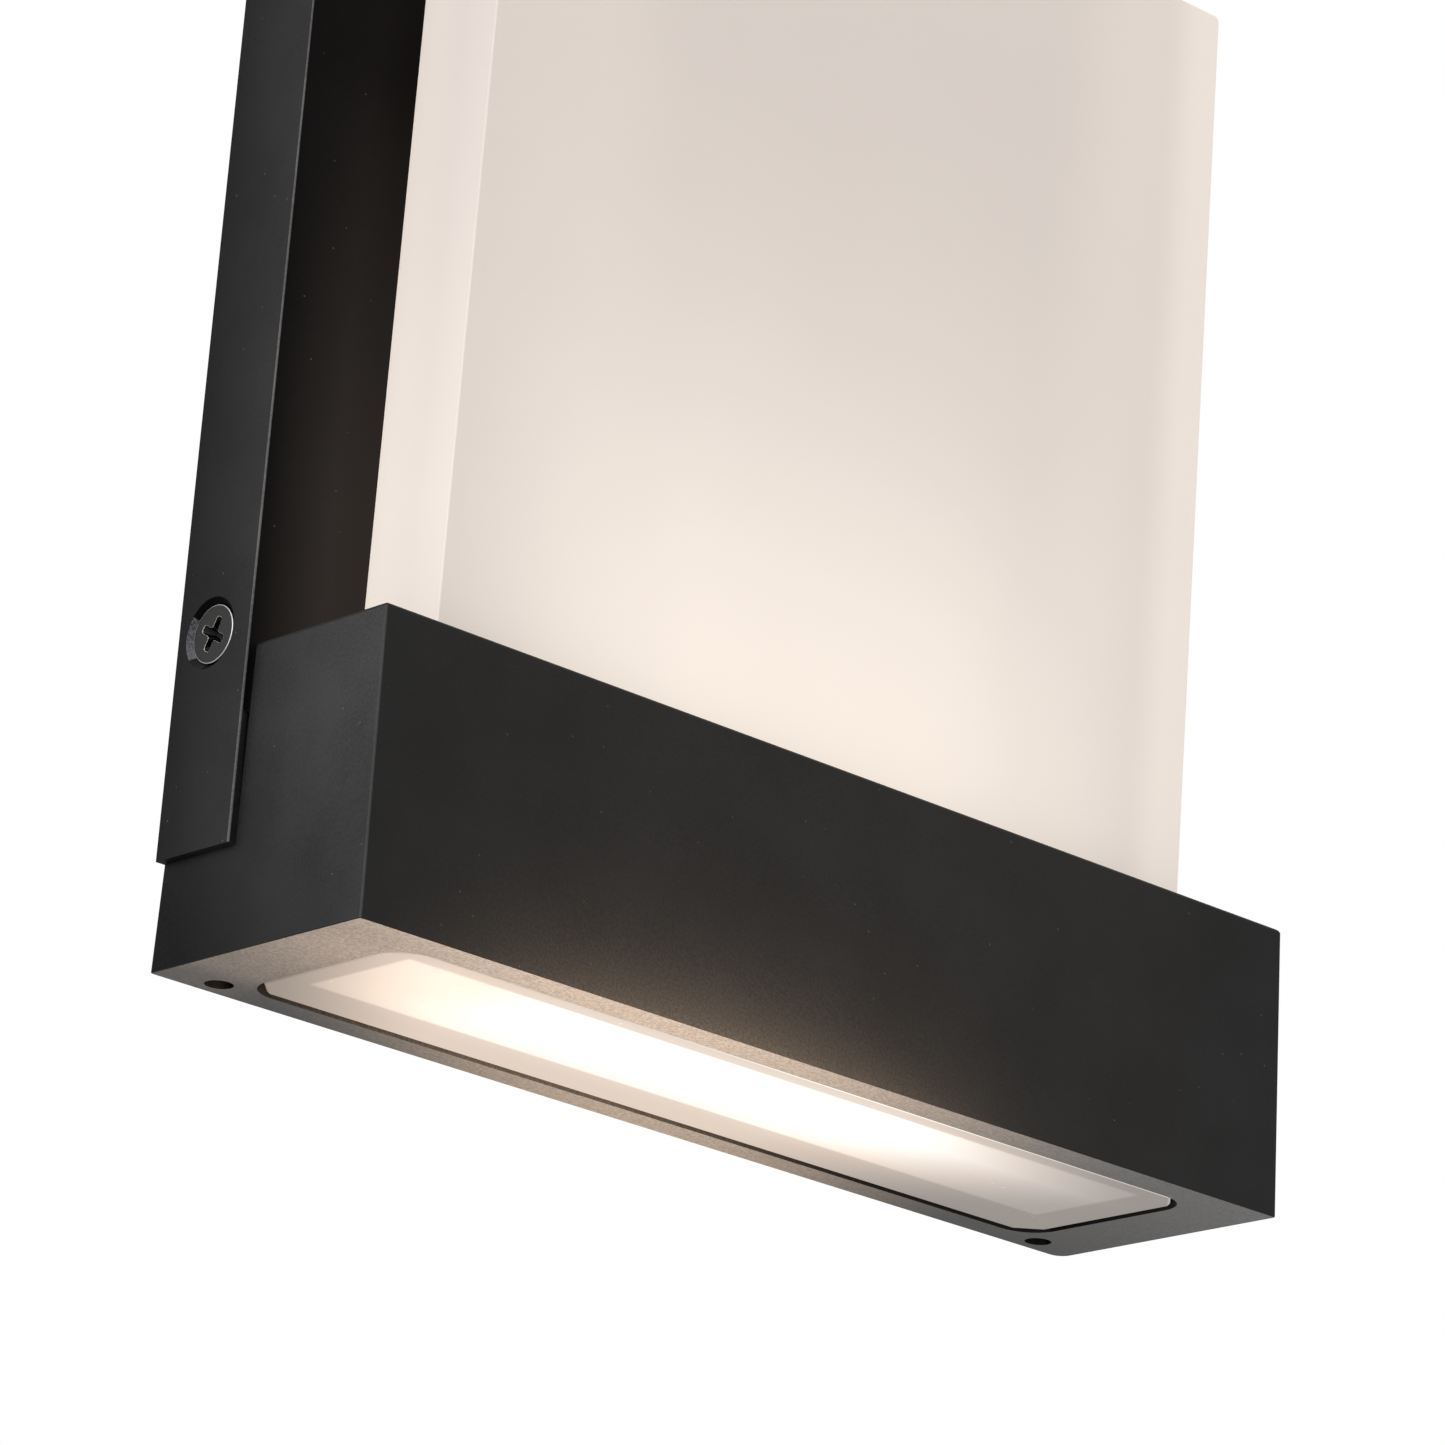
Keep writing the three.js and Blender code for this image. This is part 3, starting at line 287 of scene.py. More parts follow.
pan = block("back_pan_shell", pan_low, pan_high)
split(pan, (0, 0, up(FACE_FOOT)), (0, 0, 1))
pick(pan, "FACE", lambda middle, way: way.y > 0.9 or way.z < -0.9
     or (way.y < -0.9 and middle.z < up(FACE_FOOT)))
bpy.ops.mesh.delete(type="FACE")
rest()
apply_modifier(pan, "SOLIDIFY", thickness=SHEET, offset=-1, use_even_offset=True)
round_edges(pan, TOP_FOLD, 6, lambda middle, way: (
    is_along(way, 0) and is_at(middle.y, pan_low.y) and is_at(middle.z, pan_high.z)
))
round_edges(pan, FOLD, 4, lambda middle, way: (
    is_along(way, 2) and is_at(middle.y, pan_low.y) and is_at(abs(middle.x), pan_high.x)
))
round_edges(pan, FOLD, 4, lambda middle, way: (
    is_along(way, 1) and is_at(middle.z, pan_high.z) and is_at(abs(middle.x), pan_high.x)
))

# %% [markdown]
# Two holes in the flanges are sunk for the heads of the side screws, and two plain holes in
# the face take the screws that hold the housing. A cone cuts the sunk holes. Every tool that
# cuts reaches a little past the face it goes through, so that no thin skin is left.

# %% Holes in the pan
SINK = 9.4 * MM
SINK_REACH = SHEET + 0.6 * MM
PAN_HOLE = 3.5 * MM
PAN_HOLE_REACH = 3 * MM
PAST = 1 * MM
_, screw_y, screw_z = middle_of("side_screw_left")
left_x, _, pan_screw_z = middle_of("pan_screw_left")
pan_screw_x = -left_x

for side in (-1, 1):
    sink = rod(
        "sink",
        (side * (pan_high.x - SINK_REACH), screw_y, screw_z),
        (side * (pan_high.x + PAST), screw_y, screw_z),
        SINK / 2 - SINK_REACH,
        SINK / 2 + PAST,
        sides=96,
    )
    x = side * pan_screw_x
    hole = rod("hole", (x, pan_low.y - PAST, pan_screw_z),
               (x, pan_low.y + PAN_HOLE_REACH, pan_screw_z), PAN_HOLE / 2)
    carve(pan, sink, hole)

finish(pan, edge=0.15 * MM)
place(pan, "pan_pressing", "lantern", "black_coat", "back_pan")

# %% [markdown]
# ## The lamp housing
# The housing is a die casting. Its sides lean in a little towards the top, so that it leaves
# the mould, and its corners have small radii. The block is drawn in at the top by scaling its
# upper corners, which gives all four faces their draft at once. The long edges are rounded
# first and the four upright ones last, because some upright ones have a smaller radius than
# the top edge, and a wide round that runs over a narrow one would fold over at the corner.

# %% Housing block
SIDE_DRAFT = 0.00975
FACE_DRAFT = 0.02725
TOP_ROUND = 0.5 * MM
FOOT_ROUND = 0.15 * MM
UPRIGHT_ROUND = 0.2 * MM
RIGHT_REAR_ROUND = 1.6 * MM
housing_size = housing_high - housing_low
housing_middle = (housing_high + housing_low) / 2

housing = block("housing_casting", housing_low, housing_high)
pick(housing, "VERT", lambda middle, way: middle.z > housing_middle.z)
bpy.ops.transform.resize(value=(
    1 - 2 * SIDE_DRAFT * housing_size.z / housing_size.x,
    1 - 2 * FACE_DRAFT * housing_size.z / housing_size.y,
    1,
))
rest()


def is_right_rear(middle):
    """True at the right-hand corner by the wall."""
    return middle.x > 0 and middle.y > housing_middle.y


round_edges(housing, TOP_ROUND, 4, lambda middle, way: (
    abs(way.z) < 0.05 and is_at(middle.z, housing_high.z)
))
round_edges(housing, FOOT_ROUND, 2, lambda middle, way: (
    abs(way.z) < 0.05 and is_at(middle.z, housing_low.z)
))
round_edges(housing, UPRIGHT_ROUND, 3, lambda middle, way: (
    abs(way.z) > 0.05 and not is_right_rear(middle)
))
round_edges(housing, RIGHT_REAR_ROUND, 6, lambda middle, way: (
    abs(way.z) > 0.05 and is_right_rear(middle)
))

# %% [markdown]
# The casting is hollow. From below it has a recess for the pane, with the light chamber above
# that. On top it has a pocket that the diffuser block stands in, with a window down to the
# chamber. At the back it steps down so that the pan's face can stand on it, and it is
# cut away beside that for the pan's flanges. Each of these is a block that is carved out,
# and rooms that open into each other overlap a little.

# %% Housing cut-outs
REAR_TOP = 30.4
PAN_GAP = 0.3 * MM
SEAM = 0.06 * MM
RECESS_CORNER = 5 * MM
RECESS_SIDE = 10.6 * MM
RECESS_FRONT = 5.1 * MM
RECESS_REAR = 4.4 * MM
RECESS_ROOF = 5.85
SHAFT_STEP = 1.5 * MM
SHAFT_ROOF = 28.0
POCKET_FLOOR = 34.0
WEB = 2.4
POCKET_GAP = 0.3 * MM
WINDOW_FROM_SIDE = 12 * MM
WINDOW_FROM_FACE = 3.5 * MM
FLANGE_SEAT = 13.93
UNDER, OVER = -1, 42
LAP = 1
past_wall = 2 * MM

recess_x = housing_high.x - RECESS_SIDE
recess_front = housing_low.y + RECESS_FRONT
recess_rear = -RECESS_REAR
wide = pan_high.x + 2 * MM
housing_back = pan_low.y - SEAM

recess = block(
    "recess", (-recess_x, recess_front, up(UNDER)), (recess_x, recess_rear, up(RECESS_ROOF)),
)
round_edges(recess, RECESS_CORNER, 10, lambda middle, way: is_along(way, 2))
shaft = block(
    "shaft",
    (-recess_x + SHAFT_STEP, recess_front + SHAFT_STEP, up(RECESS_ROOF - LAP)),
    (recess_x - SHAFT_STEP, recess_rear - SHAFT_STEP, up(SHAFT_ROOF)),
)
upper_shaft = block(
    "upper_shaft",
    (-recess_x + SHAFT_STEP, recess_front + SHAFT_STEP, up(SHAFT_ROOF - LAP)),
    (recess_x - SHAFT_STEP, housing_back - WEB * MM, up(POCKET_FLOOR - WEB)),
)
rear_space = block("rear_space", (-wide, housing_back, up(REAR_TOP)), (wide, past_wall, up(OVER)))
pocket = block(
    "pocket",
    (block_low.x - POCKET_GAP, block_low.y - POCKET_GAP, up(POCKET_FLOOR)),
    (block_high.x + POCKET_GAP, block_high.y + POCKET_GAP, up(OVER)),
)
window = block(
    "window",
    (block_low.x + WINDOW_FROM_SIDE, block_low.y + WINDOW_FROM_FACE, up(POCKET_FLOOR - WEB - LAP)),
    (block_high.x - WINDOW_FROM_SIDE, block_high.y - WINDOW_FROM_FACE, up(POCKET_FLOOR + LAP)),
)
carve(housing, rear_space, recess, shaft, upper_shaft, pocket, window)
for side in (-1, 1):
    inner_x = side * (pan_high.x - SHEET - PAN_GAP)
    flange_seat = block(
        "flange_seat",
        (inner_x, housing_back, up(FLANGE_SEAT)),
        (side * wide, past_wall, up(OVER)),
    )
    carve(housing, flange_seat)
finish(housing, edge=0.1 * MM)

# %% [markdown]
# Two small drain holes go up beside the recess, close to the wall, so that rain that gets in
# behind the pan can leave. They are carved after the edges were broken, because a drilled
# hole in a casting keeps a crisp rim.

# %% Drain holes and screw holes
DRAIN = 3.7 * MM
DRAIN_FROM_SIDE = 7.9 * MM
DRAIN_FROM_WALL = 3.6 * MM
PAN_THREAD = 3.2 * MM
PAN_THREAD_DEPTH = 7 * MM
DIFFUSER_HOLE = 3 * MM
DIFFUSER_HOLE_FOOT, DIFFUSER_HOLE_HEAD = 30, 35
left_x, diffuser_screw_y, _ = middle_of("diffuser_screw_left")
diffuser_screw_x = abs(left_x)


def upright(name, x, y, foot, head, width):
    """A round bar between two heights above the housing's underside."""
    return rod(name, (x, y, up(foot)), (x, y, up(head)), width / 2)


for side in (-1, 1):
    x = side * pan_screw_x
    thread = rod("thread", (x, housing_back - PAN_THREAD_DEPTH, pan_screw_z),
                 (x, past_wall, pan_screw_z), PAN_THREAD / 2)
    x = side * (housing_high.x - DRAIN_FROM_SIDE)
    drain = upright("drain", x, -DRAIN_FROM_WALL, UNDER, OVER, DRAIN)
    bore = upright("bore", side * diffuser_screw_x, diffuser_screw_y,
                   DIFFUSER_HOLE_FOOT, DIFFUSER_HOLE_HEAD, DIFFUSER_HOLE)
    carve(housing, drain, thread, bore)
finish(housing)
place(housing, "housing_casting", "lantern", "black_coat", "lamp_housing")

# %% [markdown]
# ## The diffuser block
# The diffuser is a moulded shell of opal acrylic, 2.5 mm thick and open below. It stands in
# the housing's pocket, and two screws from below hold it by bosses inside its ends. The outer
# block is shaped first, then a smaller block is carved out of it, and the bosses are joined on.

# %% Diffuser shell
BLOCK_DRAFT = 0.0059
BLOCK_WALL = 2.5 * MM
BLOCK_TOP_ROUND = 0.8 * MM
BLOCK_EDGE_ROUND = 0.25 * MM
FOOT_OF_ROUNDS = 37
BOSS_RISE = 10 * MM
BOSS_HALF = 4.5 * MM
BOSS_SINK = 0.5 * MM
BOSS_FROM_FACE = 2 * MM
BOSS_THREAD = 2.7 * MM
BOSS_THREAD_DEPTH = 8 * MM
HALFWAY = 100
block_size = block_high - block_low
diffuser = block("diffuser_shell", block_low, block_high)
pick(diffuser, "VERT", lambda middle, way: middle.z > up(HALFWAY))
bpy.ops.transform.resize(value=(1 - 2 * BLOCK_DRAFT * block_size.z / block_size.x, 1, 1))
rest()
round_edges(diffuser, BLOCK_TOP_ROUND, 5, lambda middle, way: (
    abs(way.y) > 0.9 and middle.z > up(HALFWAY)
))
round_edges(diffuser, BLOCK_EDGE_ROUND, 3, lambda middle, way: (
    abs(way.y) < 0.9 and middle.z > up(FOOT_OF_ROUNDS)
))
hollow = block(
    "hollow",
    (block_low.x + BLOCK_WALL, block_low.y + BLOCK_WALL, block_low.z - PAST),
    (block_high.x - BLOCK_WALL, block_high.y - BLOCK_WALL, block_high.z - BLOCK_WALL),
)
carve(diffuser, hollow)
for side in (-1, 1):
    boss = block(
        "boss",
        (side * (diffuser_screw_x - BOSS_HALF), block_low.y + BOSS_FROM_FACE, block_low.z),
        (side * (block_high.x - BLOCK_WALL + BOSS_SINK), block_high.y - BOSS_FROM_FACE,
         block_low.z + BOSS_RISE),
    )
    carve(diffuser, boss, operation="UNION")
    x = side * diffuser_screw_x
    thread = rod("thread", (x, diffuser_screw_y, up(POCKET_FLOOR)),
                 (x, diffuser_screw_y, block_low.z + BOSS_THREAD_DEPTH), BOSS_THREAD / 2)
    carve(diffuser, thread)
finish(diffuser)
place(diffuser, "opal_block", "lantern", "opal", "diffuser")

# %% [markdown]
# ## The pane
# The pane is 3 mm frosted glass with its four corners cut straight at 45 degrees and its
# lower rim ground to a narrow polished bevel. That bevel catches the light as a thin bright
# line all round. One bevel step makes a cut corner, and a second small one makes the rim.

# %% Pane
PANE_CORNER = 3.2 * MM
PANE_RIM = 0.4 * MM
pane = block("pane_glass", pane_low, pane_high)
round_edges(pane, PANE_CORNER, 1, lambda middle, way: is_along(way, 2))
round_edges(pane, PANE_RIM, 1, lambda middle, way: (
    abs(way.z) < 0.1 and middle.z < pane_low.z + 0.1 * MM
))
finish(pane, edge=0.08 * MM, sharper_than=20)
place(pane, "frosted_pane", "lantern", "frosted_glass", "lens_glass")

# %% [markdown]
# ## The sealing bead
# The pane is bedded in brown silicone. It fills the narrow gap round the pane a little way
# up from the face, and the larger gaps behind the cut corners, and it carries on behind the
# glass as a flat frame. The bead is a block with the recess's shape, with the pane and the
# light opening carved out of it.

# %% Bead
BEAD_FACE = 1.15
SEAT_GAP = 0.06 * MM
GAP_BEHIND_PANE = 0.14 * MM
OPENING_ROUND = 1 * MM
PAST_BEAD = 6
bead_low, bead_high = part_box("lens_seal")
bead = block("bead", (bead_low.x, bead_low.y, up(BEAD_FACE)), bead_high)
round_edges(bead, RECESS_CORNER - PAN_GAP, 10, lambda middle, way: is_along(way, 2))
glass_room = block(
    "glass_room",
    (pane_low.x - SEAT_GAP, pane_low.y - SEAT_GAP, up(0)),
    (pane_high.x + SEAT_GAP, pane_high.y + SEAT_GAP, pane_high.z + GAP_BEHIND_PANE),
)
round_edges(glass_room, PANE_CORNER, 1, lambda middle, way: is_along(way, 2))
opening = block(
    "opening",
    (-recess_x + SHAFT_STEP, recess_front + SHAFT_STEP, up(0)),
    (recess_x - SHAFT_STEP, recess_rear - SHAFT_STEP, up(PAST_BEAD)),
)
round_edges(opening, OPENING_ROUND, 4, lambda middle, way: is_along(way, 2))
carve(bead, glass_room, opening)
finish(bead, edge=0.1 * MM)
place(bead, "silicone_bead", "lantern", "silicone", "lens_seal")

# %% [markdown]
# ## The side screws
# Two M4 countersunk screws hold the lantern to the bracket's ears. Each was turned from bar:
# a thin rim, a 90 degree cone with a groove for the sealing ring, and a threaded shank. The
# screw is modelled once, standing on the origin with its head's face at height zero, by
# pulling one end of a short cylinder down in steps. It is turned and copied afterwards.

# %% Screw body
HEAD = 7.7 * MM
HEAD_RIM = 0.25 * MM
CORE = 1.62 * MM
CREST = 1.98 * MM
PITCH = 0.7 * MM
FLANK = 0.28 * MM
CREST_LAND = 0.08 * MM
CORE_LAND = PITCH - 2 * FLANK - CREST_LAND
RUN_OUT = 0.3 * MM
TIP = 0.4 * MM
TIP_SHARE = 0.7
SCREW_LENGTH = 10 * MM


def pull_down(depth, scale):
    """Extrudes the picked end face downwards and scales it about the screw's axis."""
    push(z=-depth)
    bpy.ops.transform.resize(value=(scale, scale, 1), center_override=(0, 0, 0))


screw = rod("screw", (0, 0, -HEAD_RIM), (0, 0, 0), HEAD / 2, sides=64)
pick(screw, "FACE", lambda middle, way: way.z < -0.9)
cone_depth = HEAD / 2 - CREST
pull_down(cone_depth, CREST / (HEAD / 2))
pull_down(RUN_OUT, CORE / CREST)
depth = HEAD_RIM + cone_depth + RUN_OUT
while depth + PITCH < SCREW_LENGTH - TIP:
    pull_down(FLANK, CREST / CORE)
    pull_down(CREST_LAND, 1)
    pull_down(FLANK, CORE / CREST)
    pull_down(CORE_LAND, 1)
    depth += PITCH
pull_down(SCREW_LENGTH - depth - TIP, 1)
pull_down(TIP, TIP_SHARE)
rest()
print("screw length", SCREW_LENGTH / MM, "mm, depth reached before the tip", round(depth / MM, 2))

# %% [markdown]
# The cross recess of a real screw is stamped: its wings narrow towards the bottom and their
# ends are rounded. Two crossed bars make the punch, its upright edges are rounded, and its
# foot is drawn in. The punch is then carved out of the head.

# %% Cross recess and ring groove
CROSS = 4.8 * MM
CROSS_DEPTH = 1.6 * MM
CROSS_TURN = -29 * DEGREE
WING = 1.15 * MM
WING_ROUND = 0.38 * MM
WING_TAPER = 0.52
RING_RADIUS = 2.75 * MM
RING_SECTION = 0.4 * MM
RING_DEPTH = 1.2 * MM
GROOVE_GAP = 0.06 * MM
HEAD_ROUND = 0.14 * MM


def hoop(name, section):
    """A round ring at the depth of the screw's groove, with its section's radius."""
    rest()
    bpy.ops.mesh.primitive_torus_add(
        major_radius=RING_RADIUS,
        minor_radius=section,
        major_segments=64,
        minor_segments=16,
        location=(0, 0, -RING_DEPTH),
    )
    return settle(name)


punch_top = 0.1 * MM
punch = block("punch", (-CROSS / 2, -WING / 2, -CROSS_DEPTH), (CROSS / 2, WING / 2, punch_top))
wing = block("wing", (-WING / 2, -CROSS / 2, -CROSS_DEPTH), (WING / 2, CROSS / 2, punch_top))
carve(punch, wing, operation="UNION")
round_edges(punch, WING_ROUND, 4, lambda middle, way: is_along(way, 2))
pick(punch, "VERT", lambda middle, way: middle.z < 0)
bpy.ops.transform.resize(value=(WING_TAPER, WING_TAPER, 1), center_override=(0, 0, 0))
rest()
punch.data.transform(Matrix.Rotation(CROSS_TURN, 4, "Z"))
carve(screw, punch, hoop("groove", RING_SECTION + GROOVE_GAP))
round_edges(screw, HEAD_ROUND, 3, lambda middle, way: (
    is_at(middle.z, 0) and middle.xy.length > HEAD / 2 - HEAD_ROUND
))
finish(screw, edge=0.07 * MM, sharper_than=50)

# %% [markdown]
# ## The sealing rings
# A rubber ring sits in each screw's groove and keeps rain out of the sunk hole. A moulded ring
# has a thin line of flash where the halves of its mould met, so the outermost edge loop of a
# torus is bevelled to a band and pushed out by a hair.

# %% Sealing ring
FLASH_HALF = 0.05 * MM
FLASH_SCALE = 1.012
ring = hoop("ring", RING_SECTION)
outermost = RING_RADIUS + RING_SECTION
round_edges(ring, FLASH_HALF, 2, lambda middle, way: (
    abs(way.z) < 0.1 and middle.xy.length > outermost - 0.01 * MM
))
pick(ring, "VERT", lambda middle, way: middle.xy.length > outermost - 0.004 * MM)
bpy.ops.transform.resize(value=(FLASH_SCALE, FLASH_SCALE, 1), center_override=(0, 0, -RING_DEPTH))
rest()
finish(ring)

# %% [markdown]
# Both pieces are copied and turned so that their heads face outwards on the left and on the
# right. The place comes from the frame: the head's face is where the node's outer end is.


# %% Screws and rings in place
def turned_copy(piece, outwards, position):
    """A copy with its own mesh, its +Z turned to face outwards, at a position."""
    copy = piece.copy()
    copy.data = piece.data.copy()
    bpy.context.scene.collection.objects.link(copy)
    turn = Vector((0, 0, 1)).rotation_difference(outwards).to_matrix().to_4x4()
    copy.data.transform(Matrix.Translation(position) @ turn)
    return copy


seat_of_head = -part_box("side_screw_left")[0].x
screws, rings = [], []
for word, side in (("left", -1), ("right", 1)):
    outwards = Vector((side, 0, 0))
    seat = Vector((side * seat_of_head, screw_y, screw_z))
    screws.append(turned_copy(screw, outwards, seat))
    place(screws[-1], f"countersunk_screw_{word}", f"{word}_screw", "black_steel", f"side_screw_{word}")
    rings.append(turned_copy(ring, outwards, seat))
    place(rings[-1], f"sealing_ring_{word}", f"{word}_ring", "rubber", f"screw_seal_{word}")
bpy.data.objects.remove(screw)
bpy.data.objects.remove(ring)

# %% [markdown]
# ## The wall bracket
# The bracket is cut and folded from 1.5 mm zinc plated steel. It is a flat plate with two long
# slots for the wall screws, a round opening for the supply cable, two ears folded forward for
# the side screws, and two hooks folded forward and up that carry the lantern. Planes split
# the plate where the ears and hooks begin, and their faces are then extruded.

# %% Bracket plate with its ears and hooks
PLATE = 1.5 * MM
bracket_low, bracket_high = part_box("wall_bracket")
HOOK_RISE = 3.9 * MM
HOOK_INNER, HOOK_OUTER = 20 * MM, 40 * MM
PLATE_FOOT = 32.8
PLATE_HALF = 72.3 * MM
EAR_HALF = 6 * MM
EAR_DEPTH = 11.5 * MM
plate_top = bracket_high.z - HOOK_RISE
plate_foot = up(PLATE_FOOT)
ear_x = bracket_high.x
ear_low, ear_high = screw_z - EAR_HALF, screw_z + EAR_HALF
hook_tip = bracket_low.y

bracket = block("bracket", (-PLATE_HALF, -PLATE, plate_foot), (PLATE_HALF, 0, plate_top))
for height in (ear_low, ear_high, plate_top - PLATE):
    split(bracket, (0, 0, height), (0, 0, 1))
for x in (-HOOK_OUTER, -HOOK_INNER, HOOK_INNER, HOOK_OUTER):
    split(bracket, (x, 0, 0), (1, 0, 0))
for side in (-1, 1):
    pick(bracket, "FACE", lambda middle, way: way.x * side > 0.9 and ear_low < middle.z < ear_high)
    for distance in (ear_x - PLATE - PLATE_HALF, PLATE):
        push(x=side * distance)
pick(bracket, "FACE", lambda middle, way: way.y < -0.9 and abs(middle.x) > ear_x - PLATE)
push(y=PLATE - EAR_DEPTH)


def is_hook(middle):
    """True for places in the strips that the hooks are folded from."""
    return HOOK_INNER < abs(middle.x) < HOOK_OUTER and middle.z > plate_top - PLATE


pick(bracket, "FACE", lambda middle, way: way.y < -0.9 and is_hook(middle))
for distance in (hook_tip + 2 * PLATE, -PLATE):
    push(y=distance)
pick(bracket, "FACE", lambda middle, way: (
    way.z > 0.9 and is_hook(middle) and middle.y < hook_tip + PLATE
))
push(z=HOOK_RISE)
rest()

# %% [markdown]
# A press brake leaves a round outer fold. The fold edges are rounded before the holes are
# cut, and the cut edges get only the small break that the barrel polisher gives them. The
# slots let the fitter shift the plate sideways on its two wall screws.

# %% Bracket folds
BRACKET_FOLD = 1.2 * MM
EAR_CORNER = 2.5 * MM
round_edges(bracket, BRACKET_FOLD, 5, lambda middle, way: (
    is_along(way, 2) and is_at(abs(middle.x), ear_x) and is_at(middle.y, 0)
))
round_edges(bracket, BRACKET_FOLD, 5, lambda middle, way: (
    is_along(way, 0) and HOOK_INNER < abs(middle.x) < HOOK_OUTER
    and is_at(middle.z, plate_top - PLATE) and is_at(middle.y, hook_tip)
))
round_edges(bracket, EAR_CORNER, 5, lambda middle, way: (
    is_along(way, 0) and is_at(middle.y, -EAR_DEPTH) and abs(middle.x) > PLATE_HALF
))

# %% Bracket holes
SLOT_X = 40 * MM
SLOT_LENGTH = 18 * MM
SLOT_WIDTH = 4.8 * MM
M4_HOLE = 4.2 * MM
TERMINAL_HOLE = 2.7 * MM
INLET = 22 * MM
slot_z = (plate_foot + plate_top) / 2
inlet_low, inlet_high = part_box("inlet_grommet")
_, _, inlet_z = middle_of("inlet_grommet")
earth_x, _, _ = middle_of("earth_screw")
terminal_x, _, terminal_z = middle_of("terminal_screw_left")
behind = -4 * MM


def plate_hole(name, x, z, width, sides=48):
    """A round bar through the bracket's plate."""
    return rod(name, (x, behind, z), (x, PAST, z), width / 2, sides=sides)


for side in (-1, 1):
    slot = block(
        "slot",
        (side * SLOT_X - SLOT_LENGTH / 2, behind, slot_z - SLOT_WIDTH / 2),
        (side * SLOT_X + SLOT_LENGTH / 2, PAST, slot_z + SLOT_WIDTH / 2),
    )
    round_edges(slot, SLOT_WIDTH / 2 - 0.02 * MM, 8, lambda middle, way: is_along(way, 1))
    ear_hole = rod("ear_hole", (side * (ear_x + behind), screw_y, screw_z),
                   (side * (ear_x + PAST), screw_y, screw_z), M4_HOLE / 2)
    terminal_hole = plate_hole("terminal_hole", -side * terminal_x, terminal_z, TERMINAL_HOLE)
    carve(bracket, slot, ear_hole, terminal_hole)
inlet = plate_hole("inlet", 0, inlet_z, INLET, sides=96)
carve(bracket, inlet, plate_hole("earth_hole", earth_x, inlet_z, M4_HOLE))
finish(bracket, edge=0.2 * MM)
place(bracket, "bracket_folding", "lantern", "zinc_steel", "wall_bracket")

# %% [markdown]
# ## The wall seal
# A foam strip runs up both sides and across the top inside the pan's rim, and is squeezed
# against the wall. Foam that was cut with a knife has soft, slightly wavy edges, so the strip
# is subdivided and its points are moved by a small noise.

# %% Wall seal
SEAL_WIDTH = 5 * MM
SEAL_ROUND = 0.45 * MM
WAVE_LENGTH = 12 * MM
WAVE_HEIGHT = 0.22 * MM
STEP = 6
SEAL_FOOT, SEAL_TOP, SEAL_SIDE = 64, 184, 66
seal_low, seal_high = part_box("wall_seal")
seal = block("seal", seal_low, seal_high)
middle_room = block(
    "middle_room",
    (seal_low.x + SEAL_WIDTH, seal_low.y - PAST, seal_low.z - PAST),
    (seal_high.x - SEAL_WIDTH, seal_high.y + PAST, seal_high.z - SEAL_WIDTH),
)
carve(seal, middle_room)
for height in range(SEAL_FOOT, SEAL_TOP, STEP):
    split(seal, (0, 0, up(height)), (0, 0, 1))
for x in range(-SEAL_SIDE, SEAL_SIDE + STEP, STEP):
    split(seal, (x * MM, 0, 0), (1, 0, 0))
round_edges(seal, SEAL_ROUND, 3, lambda middle, way: is_along(way, 2) or (
    is_along(way, 0)
    and (is_at(middle.z, seal_high.z) or is_at(middle.z, seal_high.z - SEAL_WIDTH))
))
waves = bpy.data.textures.new("waves", "CLOUDS")
waves.noise_scale = WAVE_LENGTH
apply_modifier(seal, "DISPLACE", texture=waves, texture_coords="LOCAL", strength=WAVE_HEIGHT, mid_level=1)
finish(seal)
place(seal, "foam_strip", "lantern", "foam", "wall_seal")

# %% [markdown]
# ## The inlet grommet
# A soft rubber grommet lines the bracket's round opening, where the supply cable comes in.
# From the wall side it shows a rim, a sunk ring and a collar round the bore. Insets and
# extrusions of a cylinder's end face make those steps, and the bore is cut last.

# %% Grommet
RIM_THICKNESS = 1.4 * MM
GROMMET_BORE = 9 * MM
inlet_radius = (inlet_high.x - inlet_low.x) / 2
rim_top = inlet_low.y + RIM_THICKNESS
grommet = rod("grommet", (0, inlet_low.y, inlet_z), (0, rim_top, inlet_z), inlet_radius, sides=96)


def draw_end(inset, travel):
    """Insets the picked end face and moves the new face towards the wall."""
    bpy.ops.mesh.inset(thickness=inset)
    push(y=travel)


pick(grommet, "FACE", lambda middle, way: way.y > 0.9)
draw_end(2.2 * MM, inlet_high.y - rim_top)
draw_end(1.9 * MM, -0.7 * MM)
draw_end(1.6 * MM, 0.45 * MM)
bore = rod("bore", (0, inlet_low.y - PAST, inlet_z), (0, PAST, inlet_z), GROMMET_BORE / 2, sides=64)
carve(grommet, bore)
finish(grommet, edge=0.18 * MM)
place(grommet, "rubber_grommet", "lantern", "rubber", "inlet_grommet")

# %% [markdown]
# ## Finishes
# Colours are written as they would be picked on a screen and turned to the linear values that
# the shaders work in. One function adds a node with its settings and links, and its inputs
# come by name or in the order of the node's sockets. Patterns read object coordinates, which
# are metres here, so a noise's scale is one over its grain size.


# %% Colour and node helpers
def colour(code):
    """The linear colour of a six figure sRGB code."""
    channels = (int(code[i:i + 2], 16) / 255 for i in (0, 2, 4))
    linear = [c / 12.92 if c <= 0.04045 else ((c + 0.055) / 1.055) ** 2.4 for c in channels]
    return (*linear, 1)


def feed(node, inputs):
    """Gives each input of a node a value, or a link from another node's output."""
    by_name = inputs.items() if isinstance(inputs, dict) else enumerate(inputs)
    for name, value in by_name:
        if isinstance(value, bpy.types.NodeSocket):
            node.id_data.links.new(value, node.inputs[name])
        else:
            node.inputs[name].default_value = value


